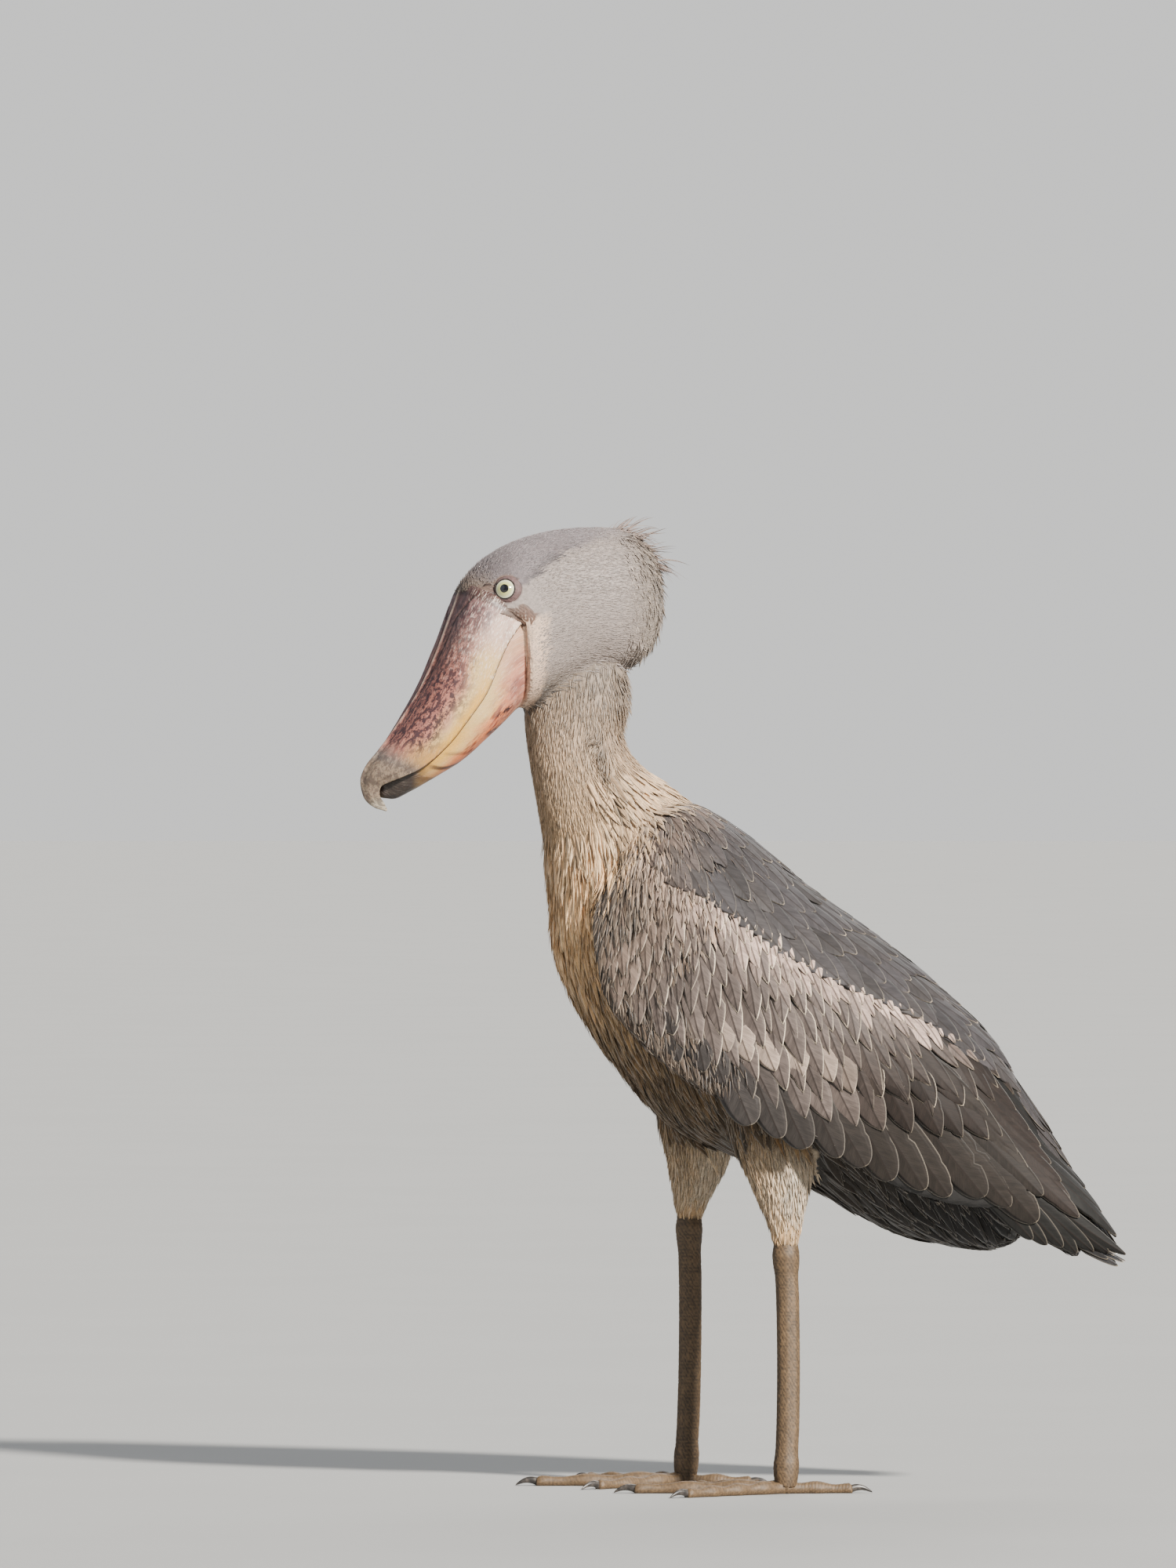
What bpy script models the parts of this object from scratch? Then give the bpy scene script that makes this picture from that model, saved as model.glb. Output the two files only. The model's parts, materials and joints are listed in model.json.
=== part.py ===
# A shoebill standing at rest with its neck drawn down, as a life-size still model.
# It faces -X, its left side faces -Y, and both feet stand on the floor at Z = 0.
# Tables and sizes below are in millimetres, and MM turns them into Blender's metres.

import math

import bmesh
import bpy
import numpy as np
from mathutils import Matrix, Vector
from mathutils.bvhtree import BVHTree

MM = 0.001
GAP = 0.3  # the least clearance between neighbouring nodes
CUT_CLEARANCE = 0.42  # how far a node is cut back from a curved neighbour
SHARP_FROM = math.radians(38)
SIDES = {"left": -1.0, "right": 1.0}

# Body sections from inside the head to the rump. Each row is the front or belly point (x, z),
# the nape or back point (x, z), and the half width.
BODY_SECTIONS = [
    (-214, 822, -118, 834, 40),
    (-222, 780, -113, 786, 45),
    (-219, 737, -119, 749, 47),
    (-212, 694, -100, 721, 55),
    (-204, 644, -58, 688, 72),
    (-197, 585, -12, 651, 90),
    (-194, 530, 38, 602, 104),
    (-174, 476, 88, 560, 111),
    (-133, 417, 139, 526, 113),
    (-78, 363, 182, 487, 108),
    (-8, 330, 215, 456, 97),
    (74, 293, 242, 420, 82),
    (136, 259, 260, 378, 63),
    (195, 243, 279, 345, 47),
    (238, 238, 290, 300, 33),
    (264, 246, 292, 278, 14),
]
NECK_ENDS_AT = 4  # the section where the neck meets the torso
BODY_RINGS_PER_SPAN = 2
BODY_POINTS = 20
BODY_SQUARENESS = 2.1
BODY_BELLY_NARROWING = 0.05

# The head turns about an upright axis through the neck, towards its left.
HEAD_TURN = math.radians(18)
HEAD_PIVOT_X = -160

# Head sections in the head's own frame, from the bill's root to the nape: the crown point (x, z),
# the throat point (x, z), and the half width.
HEAD_SECTIONS = [
    (-136, 892, -73, 774, 52),
    (-120, 913, -54, 780, 57),
    (-95, 934, -36, 794, 60),
    (-65, 948, -16, 806, 62),
    (-32, 956, 6, 813, 63),
    (3, 959, 30, 815, 62),
    (37, 957, 51, 820, 57),
    (61, 943, 67, 838, 45),
    (73, 918, 75, 862, 27),
]
HEAD_RINGS_PER_SPAN = 2
HEAD_POINTS = 24
HEAD_SQUARENESS = 2.3
HEAD_CHEEK_WIDENING = 0.12

# The edge where feathers give way to the bill, in profile: culmen root, corner of the mouth, chin.
CULMEN_ROOT = (-130, 892)
MOUTH_CORNER = (-78, 863)
CHIN_ROOT = (-70, 776)

# Upper bill sections from the root to the hook's point: keel point (x, z), cutting edge (x, z),
# half width, and how square the arch is.
UPPER_BILL_SECTIONS = [
    (-129.5, 891.5, -79, 863.5, 50, 3.6),
    (-139, 866, -94, 844, 53, 3.5),
    (-150, 838, -105.5, 822, 55, 3.3),
    (-164, 807, -118, 792.5, 54, 3.1),
    (-181, 778, -135.5, 767, 51, 2.9),
    (-198, 753, -154, 742, 45, 2.7),
    (-213, 734, -176, 721, 37, 2.5),
    (-224, 721, -197, 710, 27, 2.3),
    (-229.5, 710, -208, 705, 19, 2.2),
    (-230.5, 700, -215, 700, 12, 2.1),
    (-227, 688, -215, 691, 8, 2.0),
    (-218, 680, -210, 684.5, 4.5, 2.0),
    (-206, 675.5, -205, 677, 1.2, 2.0),
]
KEEL_HEIGHT = 2.6
UPPER_BILL_POINTS = 13

# Lower bill sections from the root to the tip: upper edge (x, z), lower edge (x, z), half width.
LOWER_BILL_SECTIONS = [
    (-75, 866, -71, 778, 48),
    (-91, 853, -75, 775, 50),
    (-101, 834, -81, 770, 52),
    (-113, 807, -93, 759, 52),
    (-128, 780, -110, 743.5, 50),
    (-147, 753, -132, 725, 44),
    (-168, 730, -157, 709.5, 36.5),
    (-189, 715, -183, 695, 25.5),
    (-201, 710, -197, 688, 17),
    (-208, 707, -206, 688, 10),
]
LOWER_BILL_POINTS = 11
LOWER_BILL_SUNK = 4  # how far the closed lower bill reaches up inside the upper one before it is cut

NOSTRIL = {"x": -133, "z": 871, "y": 17, "length": 22, "width": 3.2, "depth": 5}
NOSTRIL_SLOPE = (-0.36, -0.93)  # (x, z)

EYE = {"x": -91, "y": 36.5, "z": 893, "radius": 16, "forward": math.radians(18), "up": math.radians(14)}
LID = {"ring_radius": 13.9, "thickness": 2.5, "out": 11}

# Locks at the back of the crown stand up as a loose crest, and those down the nape lie close.
# Places are angles seen from the middle of the skull: up from straight back, and round to each side.
SKULL_MIDDLE = (10, 0, 885)
CREST = {
    "locks": 14, "lowest": 30, "highest": 66, "spread": 34, "length": (20, 40), "width": 5.0,
    "lean": (28, 62), "droop": 16,
}
NAPE = {
    "locks": 12, "lowest": -42, "highest": 24, "spread": 42, "length": (13, 19), "width": 6.5,
    "lean": (75, 82), "droop": 3,
}
LOCK_STATIONS = [(0.0, 1.0), (0.35, 0.95), (0.7, 0.62), (1.0, 0.16)]
LOCK_THICKNESS = 1.3
LOCK_SUNK = 3.5
LOCK_SEED = 11

# The folded wing lies in its own slanted frame: along it runs from the shoulder to the tip,
# and across it runs from the back down to the lower edge.
WING_ORIGIN = (-125, 601)
WING_AXIS = (0.806, -0.592)
WING_ACROSS = (-0.592, -0.806)
# Along, upper edge, lower edge, half width at the back, widest half width, at the lower edge, thickness.
WING_SECTIONS = [
    (-12, -85, 20, 52, 86, 82, 18),
    (8, -108, 52, 34, 105, 100, 26),
    (38, -116, 82, 20, 117, 110, 29),
    (75, -118, 106, 9, 126, 118, 30),
    (160, -113, 126, 1.5, 138, 130, 30),
    (235, -114, 123, 1.5, 138, 130, 30),
    (315, -110, 108, 1.5, 127, 119, 28),
    (390, -99, 103, 1.5, 108, 102, 22),
    (450, -71, 84, 2, 90, 86, 15),
    (500, -51, 57, 3, 74, 71, 10),
    (555, -35, 37, 5, 58, 55, 8),
    (600, -17, 16, 10, 41, 40, 6),
    (620, -8, -1, 20, 32, 32, 4),
]
WING_SHOULDER_SHARE = 0.55  # the share of the section that the rounded back takes up
WING_MIDLINE_GAP = 0.4  # no feather comes nearer to the plane between the two wings

# The core carries the feathers. It lies under their tips and stops short of the lower edge and the tip.
WING_CORE = {"depth": 4.5, "edge": 24, "edge_from": 60, "edge_full": 240, "end": 530}
WING_CORE_POINTS_ACROSS = 8

# Feather rows. Each row's tips lie on a line from one place to another, given as along the wing and
# round it from the middle line (back towards the spine is negative). Angles are from the wing's own
# length, turned towards the lower edge, at the first and the last feather of the row.
FEATHER_ROWS = [
    {"from": (112, 49), "to": (202, -18), "count": 4, "length": 46, "width": 30, "angle": (36, 31)},
    {"from": (133, 82), "to": (309, -34), "count": 7, "length": 54, "width": 37, "angle": (37, 28)},
    {"from": (176, 101), "to": (378, -48), "count": 8, "length": 56, "width": 39, "angle": (36, 25)},
    {"from": (224, 104), "to": (440, -12), "count": 8, "length": 58, "width": 39, "angle": (34, 22)},
    {"from": (268, 121), "to": (536, 24), "count": 9, "length": 74, "width": 36, "angle": (32, 14)},
    {"from": (462, -62), "to": (548, -26), "count": 3, "length": 105, "width": 30, "angle": (6, 8)},
    {"from": (556, 36), "to": (622, -4), "count": 5, "length": 112, "width": 22, "angle": (14, 2)},
    {"from": (168, -38), "to": (420, -112), "count": 5, "length": 84, "width": 48, "angle": (17, 8)},
    {"from": (120, -84), "to": (398, -150), "count": 5, "length": 82, "width": 46, "angle": (14, 5)},
    {"from": (70, -92), "to": (300, -168), "count": 4, "length": 78, "width": 46, "angle": (10, 2)},
]
FEATHER_VARIATION = 0.06
FEATHER_SEED = 5

# A vane's outline as shares of its length and width, and how it lies on what carries it.
VANE_OUTLINE = [(0.0, 0.64), (0.5, 1.0), (0.86, 0.74), (1.0, 0.14)]
VANE_THICKNESS = 0.8
VANE_RIDGE = 0.4  # on a broad vane the shaft stands out by this much
VANE_BROAD_FROM = 40
VANE_SUNK = 2.2  # the root lies this deep
VANE_LIFT = 3.0  # the tip's underside stands this high
VANE_TILT = 1.0  # one edge is raised, and the other lowered, to pass over and under the neighbours

# The tail's core is a wedge from root to tip (x, z), and its quills go on past the core's end.
TAIL = {
    "root": (232, 300),
    "tip": (376, 222),
    "core_share": 0.7,
    "half_width": (38, 44),
    "thickness": (26, 9),
    "quills": 10,
    "quill_length": 112,
    "quill_width": 23,
    "quill_spread": 9,
    "camber_radius": 90,
}

# Legs. Each thigh section is the centre (x, z), half depth along X, and half width along Y.
LEGS = {
    "left": {
        "thigh": [
            (18, 385, 44, 36), (26, 345, 41, 34), (33, 320, 36, 30),
            (36, 295, 28, 24), (39, 268, 20, 17), (40, 247, 13.5, 12.5),
        ],
        "hip_y": 58,
        "ankle_y": 64,
        "ankle": (40, 236),
        "foot": (40, 74),
    },
    "right": {
        "thigh": [
            (-48, 390, 42, 36), (-47, 352, 38, 33), (-46, 328, 33, 29),
            (-49, 304, 26, 23), (-53, 284, 18.5, 17), (-55, 270, 14, 12.5),
        ],
        "hip_y": 58,
        "ankle_y": 62,
        "ankle": (-55, 259),
        "foot": (-58, 70),
    },
}
# Shank sections: share of the way down, half depth along X, half width along Y.
SHANK_SECTIONS = [
    (-0.045, 12.0, 10.5), (0.0, 13.5, 11.5), (0.05, 13.0, 11.2), (0.14, 11.2, 9.7), (0.5, 10.9, 9.2),
    (0.85, 11.2, 9.6), (0.94, 12.8, 11.4), (1.0, 11.6, 10.8),
]
SHANK_POINTS = 8
THIGH_POINTS = 12

# Toes in turn round the foot: degrees from straight ahead (towards the body's midline is positive),
# length, root and end radius.
TOES = {
    "outer": (-36, 122, 7.4, 4.9),
    "middle": (2, 150, 8.0, 5.2),
    "inner": (38, 112, 7.4, 4.9),
    "hind": (172, 66, 7.2, 5.0),
}
TOE_ROOT_OUT = 3  # how far from the foot's centre a toe starts
TOE_SEGMENTS = 7
TOE_POINTS = 8
TOE_JOINTS = 2
TOE_JOINT_SWELL = 0.10
TOE_AXIS_SHARE = 0.8  # the height of a toe's centre line, as a share of its radius
CLAW_LENGTH = 22

PLUMAGE_GREY = (0.30, 0.28, 0.28)
PLUMAGE_PALE = (0.42, 0.40, 0.40)
BILL_PINK = (0.55, 0.36, 0.30)
LEG_GREY = (0.20, 0.16, 0.14)
CLAW_DARK = (0.07, 0.06, 0.055)
IRIS_CREAM = (0.75, 0.72, 0.48)


def clear_scene():
    for thing in list(bpy.data.objects):
        bpy.data.objects.remove(thing)


def material(name, colour, roughness):
    made = bpy.data.materials.get(name)
    if made is None:
        made = bpy.data.materials.new(name)
        made.use_nodes = True
        shader = made.node_tree.nodes["Principled BSDF"]
        shader.inputs["Base Color"].default_value = (*colour, 1.0)
        shader.inputs["Roughness"].default_value = roughness
        shader.inputs["Metallic"].default_value = 0.0
    return made


def between(rows, steps):
    """Rows joined by a smooth curve, with so many steps in each span."""
    table = np.array(rows, float)
    before = 2 * table[0] - table[1]
    after = 2 * table[-1] - table[-2]
    padded = np.vstack([before, table, after])
    found = []
    for span in range(len(table) - 1):
        a, b, c, d = padded[span : span + 4]
        for step in range(steps):
            t = step / steps
            found.append(
                0.5 * (2 * b + (c - a) * t + (2 * a - 5 * b + 4 * c - d) * t**2
                       + (3 * b - a - 3 * c + d) * t**3)
            )
    found.append(table[-1])
    return np.array(found)


def rounded(angle, squareness):
    """Cosine and sine of a superellipse."""
    power = 2 / squareness
    c, s = math.cos(angle), math.sin(angle)
    return math.copysign(abs(c) ** power, c), math.copysign(abs(s) ** power, s)


def oval_ring(start, end, half_width, points, squareness, narrowing):
    """A ring in the plane through start, end (x, z) and the Y axis. Positive narrowing slims the start."""
    start, end = np.array(start), np.array(end)
    middle, half = (start + end) / 2, (start - end) / 2
    ring = []
    for i in range(points):
        c, s = rounded(2 * math.pi * i / points, squareness)
        x, z = middle + half * c
        ring.append((x, half_width * s * (1 - narrowing * c), z))
    return np.array(ring)


def new_object(name, points, faces, look):
    mesh = bpy.data.meshes.new(name)
    mesh.from_pydata([tuple(p) for p in np.asarray(points) * MM], [], faces)
    shape = bmesh.new()
    shape.from_mesh(mesh)
    bmesh.ops.remove_doubles(shape, verts=shape.verts, dist=1e-7)
    bmesh.ops.recalc_face_normals(shape, faces=shape.faces)
    shape.to_mesh(mesh)
    shape.free()
    made = bpy.data.objects.new(name, mesh)
    bpy.context.scene.collection.objects.link(made)
    if look:
        mesh.materials.append(look)
    mesh.shade_smooth()
    mesh.set_sharp_from_angle(angle=SHARP_FROM)
    return made


def loft(name, rings, look=None):
    """One closed body through rings of equal length, with flat ends."""
    rings = np.asarray(rings, float)
    count, around = rings.shape[:2]
    faces = []
    for i in range(count - 1):
        for j in range(around):
            a, b = i * around + j, i * around + (j + 1) % around
            faces.append((a, b, b + around, a + around))
    faces.append(tuple(range(around))[::-1])
    faces.append(tuple(range((count - 1) * around, count * around)))
    return new_object(name, rings.reshape(-1, 3), faces, look)


def swollen(shape, by):
    """A copy of a closed mesh with its surface moved out, for cutting its neighbours clear."""
    mesh = shape.data.copy()
    grown = bmesh.new()
    grown.from_mesh(mesh)
    grown.normal_update()
    for vertex in grown.verts:
        vertex.co += vertex.normal * by * vertex.calc_shell_factor() * MM
    grown.to_mesh(mesh)
    grown.free()
    made = bpy.data.objects.new("cutter", mesh)
    bpy.context.scene.collection.objects.link(made)
    return made


def combine(target, others, operation, solver="EXACT"):
    """Applies one Boolean of a collection of closed meshes to the target, then removes them."""
    group = bpy.data.collections.new("operands")
    for other in others:
        group.objects.link(other)
    step = target.modifiers.new("combine", "BOOLEAN")
    step.operation = operation
    step.operand_type = "COLLECTION"
    step.collection = group
    step.solver = solver
    bpy.context.view_layer.update()
    graph = bpy.context.evaluated_depsgraph_get()
    result = bpy.data.meshes.new_from_object(target.evaluated_get(graph))
    target.modifiers.clear()
    target.data = result
    for other in others:
        bpy.data.objects.remove(other)
    bpy.data.collections.remove(group)
    keep_largest(target)


def cut_clear(target, neighbours, solver="EXACT"):
    """Cuts the target back from its neighbours, which keep their own shape."""
    for neighbour in neighbours:
        combine(target, [swollen(neighbour, CUT_CLEARANCE)], "DIFFERENCE", solver)


def keep_largest(target):
    """Keeps only the closed surface that holds the most volume."""
    shape = bmesh.new()
    shape.from_mesh(target.data)
    bmesh.ops.remove_doubles(shape, verts=shape.verts, dist=2e-6)
    bmesh.ops.dissolve_degenerate(shape, edges=shape.edges, dist=2e-6)
    bmesh.ops.triangulate(shape, faces=shape.faces)
    unseen, bodies = set(shape.verts), []
    while unseen:
        queue, body = [unseen.pop()], []
        while queue:
            vertex = queue.pop()
            body.append(vertex)
            for edge in vertex.link_edges:
                other = edge.other_vert(vertex)
                if other in unseen:
                    unseen.discard(other)
                    queue.append(other)
        bodies.append(body)
    if len(bodies) > 1:
        def volume(body):
            faces = {face for vertex in body for face in vertex.link_faces}
            total = 0.0
            for face in faces:
                a, b, c = (v.co for v in face.verts)
                total += a.dot(b.cross(c))
            return total
        bodies.sort(key=volume, reverse=True)
        loose = [vertex for body in bodies[1:] for vertex in body]
        bmesh.ops.delete(shape, geom=loose, context="VERTS")
    shape.to_mesh(target.data)
    shape.free()
    target.data.shade_smooth()
    target.data.set_sharp_from_angle(angle=SHARP_FROM)


def turned(points):
    """Points of the head's own frame, in the bird's frame."""
    points = np.asarray(points, float)
    x, y, z = points[..., 0], points[..., 1], points[..., 2]
    c, s = math.cos(HEAD_TURN), math.sin(HEAD_TURN)
    return np.stack([HEAD_PIVOT_X + x * c - y * s, x * s + y * c, z], axis=-1)


def body_rings(first, last):
    """Rings of the body between two of its sections."""
    rows = between(BODY_SECTIONS, BODY_RINGS_PER_SPAN)
    rows = rows[first * BODY_RINGS_PER_SPAN : last * BODY_RINGS_PER_SPAN + 1]
    rings = [
        oval_ring(r[:2], r[2:4], r[4], BODY_POINTS, BODY_SQUARENESS, BODY_BELLY_NARROWING)
        for r in rows
    ]
    return np.array(rings)


def moved_in(rings, end, distance):
    """Moves one end ring along the loft, away from that end."""
    other = 1 if end == 0 else -2
    way = rings[other].mean(0) - rings[end].mean(0)
    flat = rings[end] - rings[end].mean(0)
    normal = np.cross(flat[0], flat[len(flat) // 4])
    normal /= np.linalg.norm(normal)
    rings[end] += normal * math.copysign(distance, normal @ way)
    return rings


def make_body(look):
    last = len(BODY_SECTIONS) - 1
    neck = loft("neck", moved_in(body_rings(0, NECK_ENDS_AT), -1, GAP / 2), look)
    torso = loft("torso", moved_in(body_rings(NECK_ENDS_AT, last), 0, GAP / 2), look)
    return neck, torso


def bill_socket():
    """The space in front of the feather edge, which the head leaves to the bill."""
    reach, half = 200, 120
    profile = [
        (CULMEN_ROOT[0] + 40, CULMEN_ROOT[1] + reach),
        CULMEN_ROOT,
        MOUTH_CORNER,
        CHIN_ROOT,
        (CHIN_ROOT[0] + 10, CHIN_ROOT[1] - reach),
        (CHIN_ROOT[0] - reach, CHIN_ROOT[1] - reach),
        (CHIN_ROOT[0] - reach, CULMEN_ROOT[1] + reach),
    ]
    rings = [[(x, side, z) for x, z in profile] for side in (-half, half)]
    return loft("socket", turned(rings))


def make_head(look, eyes):
    rows = between(HEAD_SECTIONS, HEAD_RINGS_PER_SPAN)
    rings = [
        oval_ring(r[:2], r[2:4], r[4], HEAD_POINTS, HEAD_SQUARENESS, HEAD_CHEEK_WIDENING)
        for r in rows
    ]
    head = loft("head", turned(rings), look)
    combine(head, [bill_socket()], "DIFFERENCE")
    combine(head, [lid_ring(side) for side in SIDES], "UNION")
    combine(head, head_locks(head), "UNION")
    cut_clear(head, eyes)
    return head


def lock(root, way, side, normal, length, width, droop):
    """A flat, tapered lock from a sunk root, which bends down over its length."""
    rings, centre = [], root - way * LOCK_SUNK
    for i, (t, share) in enumerate(LOCK_STATIONS):
        if i:
            centre = centre + way * (length + LOCK_SUNK) * (t - LOCK_STATIONS[i - 1][0])
            way = way - np.array([0, 0, 1]) * math.radians(droop) * share
            way /= np.linalg.norm(way)
        across, thick = side * width / 2 * share, normal * LOCK_THICKNESS / 2 * max(share, 0.5)
        rings.append([centre + across + thick, centre - across + thick,
                      centre - across - thick, centre + across - thick])
    return loft("lock", rings)


def head_locks(head):
    """The crest and the nape's locks, each rooted where a line from the skull's middle leaves the head."""
    tree = BVHTree.FromObject(head, bpy.context.evaluated_depsgraph_get())
    chance = np.random.default_rng(LOCK_SEED)
    middle = turned(np.array(SKULL_MIDDLE, float))
    locks = []
    for group in (CREST, NAPE):
        for i in range(group["locks"]):
            share = (i + 0.5) / group["locks"]
            up = math.radians(group["highest"] + (group["lowest"] - group["highest"]) * share)
            round_ = math.radians(group["spread"] * chance.uniform(-1, 1))
            out = np.array([math.cos(up) * math.cos(round_), math.cos(up) * math.sin(round_), math.sin(up)])
            out = turned(out) - turned(np.zeros(3))
            spot = tree.ray_cast(Vector(middle * MM), Vector(out))[0]
            root = np.array(spot) / MM
            back = np.array([-out[2] * out[0], -out[2] * out[1], out[0] ** 2 + out[1] ** 2])
            down = -back / np.linalg.norm(back)
            lean = math.radians(chance.uniform(*group["lean"]))
            way = out * math.cos(lean) + down * math.sin(lean)
            side = np.cross(out, down)
            normal = np.cross(way, side)
            locks.append(lock(root, way, side, normal, chance.uniform(*group["length"]),
                              group["width"], group["droop"]))
    return locks


def eye_frame(side):
    """Centre of an eyeball, the way its lids open, and two directions across, in the head's frame."""
    sign = SIDES[side]
    centre = np.array([EYE["x"], sign * EYE["y"], EYE["z"]])
    level = np.array([-math.sin(EYE["forward"]), sign * math.cos(EYE["forward"]), 0.0])
    way = level * math.cos(EYE["up"]) + np.array([0.0, 0.0, math.sin(EYE["up"])])
    sideways = np.array([-level[1], level[0], 0.0])
    return centre, way, sideways, np.cross(sideways, way)


def make_eye(side, look):
    centre, way, sideways, upward = eye_frame(side)
    rings, around, along = [], 12, 7
    for i in range(along + 1):
        angle = math.pi * (0.06 + 0.88 * i / along)
        ring = []
        for j in range(around):
            turn = 2 * math.pi * j / around
            spoke = sideways * math.cos(turn) + upward * math.sin(turn)
            ring.append(centre + EYE["radius"] * (way * math.cos(angle) + spoke * math.sin(angle)))
        rings.append(ring)
    return loft(f"eye_{side}", turned(rings), look)


def lid_ring(side):
    """The rim of the eyelids, a ring round the opening."""
    centre, way, sideways, upward = eye_frame(side)
    hub = centre + way * LID["out"]
    around, section, points, faces = 16, 4, [], []
    for i in range(around):
        turn = 2 * math.pi * i / around
        spoke = sideways * math.cos(turn) + upward * math.sin(turn) * 0.93
        for j in range(section):
            angle = 2 * math.pi * j / section
            out = LID["ring_radius"] + LID["thickness"] * math.cos(angle)
            points.append(hub + spoke * out + way * LID["thickness"] * math.sin(angle))
            faces.append((
                i * section + j, i * section + (j + 1) % section,
                (i + 1) % around * section + (j + 1) % section, (i + 1) % around * section + j,
            ))
    return new_object("lid", turned(points), faces, None)


def upper_bill_ring(row):
    """The keeled arch of the upper bill, closed by a flat palate."""
    keel, edge = np.array(row[:2]), np.array(row[2:4])
    half_width, squareness = row[4], row[5]
    keel_share = min(1.0, half_width / 20)
    ring = []
    for i in range(UPPER_BILL_POINTS):
        angle = math.pi * (i / (UPPER_BILL_POINTS - 1) - 0.5)
        c, s = rounded(angle, squareness)
        crest = KEEL_HEIGHT * keel_share if i == UPPER_BILL_POINTS // 2 else 0.0
        depth = (edge - keel) / np.linalg.norm(edge - keel)
        x, z = edge + (keel - edge) * c - depth * crest
        ring.append((x, half_width * s, z))
    ring.append((edge[0], 0.0, edge[1]))
    return ring


def lower_bill_ring(row):
    """The trough of the lower bill, sunk a little into the upper one."""
    top, bottom, half_width = np.array(row[:2]), np.array(row[2:4]), row[4]
    lift = (top - bottom) / np.linalg.norm(top - bottom) * LOWER_BILL_SUNK
    ring = []
    for i in range(LOWER_BILL_POINTS):
        angle = math.pi * i / (LOWER_BILL_POINTS - 1)
        c, s = rounded(angle, 2.6)
        x, z = top + (bottom - top) * s
        ring.append((x, half_width * c, z))
    ring.append((*(top + lift)[:1], -half_width * 0.9, (top + lift)[1]))
    ring.append((*(top + lift)[:1], half_width * 0.9, (top + lift)[1]))
    return ring


def nostril_cutter(side):
    """A slit beside the keel, near the root."""
    slope = np.array([NOSTRIL_SLOPE[0], 0, NOSTRIL_SLOPE[1]])
    across = np.array([0, 1.0, 0])
    normal = np.cross(slope, across)
    centre = np.array([NOSTRIL["x"], SIDES[side] * NOSTRIL["y"], NOSTRIL["z"]])
    corners = []
    for end in (-0.5, 0.5):
        ring = []
        for a, b in ((-0.5, -1), (0.5, -1), (0.5, 1), (-0.5, 1)):
            ring.append(
                centre + slope * end * NOSTRIL["length"]
                + across * a * NOSTRIL["width"] + normal * b * NOSTRIL["depth"]
            )
        corners.append(ring)
    return loft("slit", turned(corners))


def make_bill(look):
    upper_rows = between(UPPER_BILL_SECTIONS, 2)
    upper = loft("bill_upper", turned([upper_bill_ring(r) for r in upper_rows]), look)
    combine(upper, [nostril_cutter(side) for side in SIDES], "DIFFERENCE")
    lower_rows = between(LOWER_BILL_SECTIONS, 2)
    lower = loft("bill_lower", turned([lower_bill_ring(r) for r in lower_rows]), look)
    return upper, lower


class WingSheet:
    """The folded wing's outer surface, in places along the wing and round it from the middle line."""

    def __init__(self, side):
        self.rows = between(WING_SECTIONS, 6)
        self.sign = SIDES[side]
        self.shares = np.linspace(0.0, 1.2, 37)

    def section(self, along):
        return [np.interp(along, self.rows[:, 0], self.rows[:, k]) for k in range(1, 7)]

    def width(self, section, share):
        """Half width at a share of the section, from 0 at the back to 1 at the lower edge."""
        y_top, y_most, y_low = section[2:5]
        if share < WING_SHOULDER_SHARE:
            return y_top + (y_most - y_top) * math.sqrt(1 - (1 - share / WING_SHOULDER_SHARE) ** 2)
        fall = (share - WING_SHOULDER_SHARE) / (1 - WING_SHOULDER_SHARE)
        return y_most + (y_low - y_most) * fall**2

    def at_share(self, along, share):
        section = self.section(along)
        across = section[0] + (section[1] - section[0]) * share
        x = WING_ORIGIN[0] + WING_AXIS[0] * along + WING_ACROSS[0] * across
        z = WING_ORIGIN[1] + WING_AXIS[1] * along + WING_ACROSS[1] * across
        return np.array([x, self.sign * self.width(section, share), z])

    def share_at(self, along, around):
        """The share of the section that lies so far round from the wing's middle line."""
        section = self.section(along)
        points = np.array([self.at_share(along, share) for share in self.shares])
        arcs = np.concatenate([[0], np.cumsum(np.linalg.norm(np.diff(points, axis=0), axis=1))])
        middle = np.interp(-section[0] / (section[1] - section[0]), self.shares, arcs)
        return np.interp(around + middle, arcs, self.shares)

    def normal(self, along, share):
        step = 0.02
        low, high = max(0.0, share - step), share + step
        across = self.at_share(along, high) - self.at_share(along, low)
        lengthwise = self.at_share(along + 2, share) - self.at_share(along - 2, share)
        found = np.cross(lengthwise, across)
        found /= np.linalg.norm(found)
        return found if found[1] * self.sign > 0 else -found

    def place(self, along, around, height):
        """A point at a height over the core's surface, kept on its own side of the spine."""
        share = self.share_at(along, around)
        point = self.at_share(along, share)
        point = point + self.normal(along, share) * (height - WING_CORE["depth"])
        point[1] = self.sign * max(self.sign * point[1], WING_MIDLINE_GAP)
        return point


def vane(place, tip, degrees, length, width, tilt=VANE_TILT):
    """A feather's vane. Its tip, direction and size are on a surface that place() turns into points."""
    angle = math.radians(degrees)
    way, aside = np.array([math.cos(angle), math.sin(angle)]), np.array([-math.sin(angle), math.cos(angle)])
    rings = []
    for t, share in VANE_OUTLINE:
        middle = np.array(tip) - way * length * (1 - t)
        height = (VANE_LIFT + VANE_SUNK) * t - VANE_SUNK
        half = width / 2 * share
        corners = [(-half, VANE_THICKNESS), (half, VANE_THICKNESS), (half, 0.0), (-half, 0.0)]
        if width > VANE_BROAD_FROM:
            corners.insert(1, (0.0, VANE_THICKNESS + VANE_RIDGE))
        rings.append([
            place(*(middle + aside * v), height + up - tilt * 2 * v / width) for v, up in corners
        ])
    return loft("vane", rings)


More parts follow.
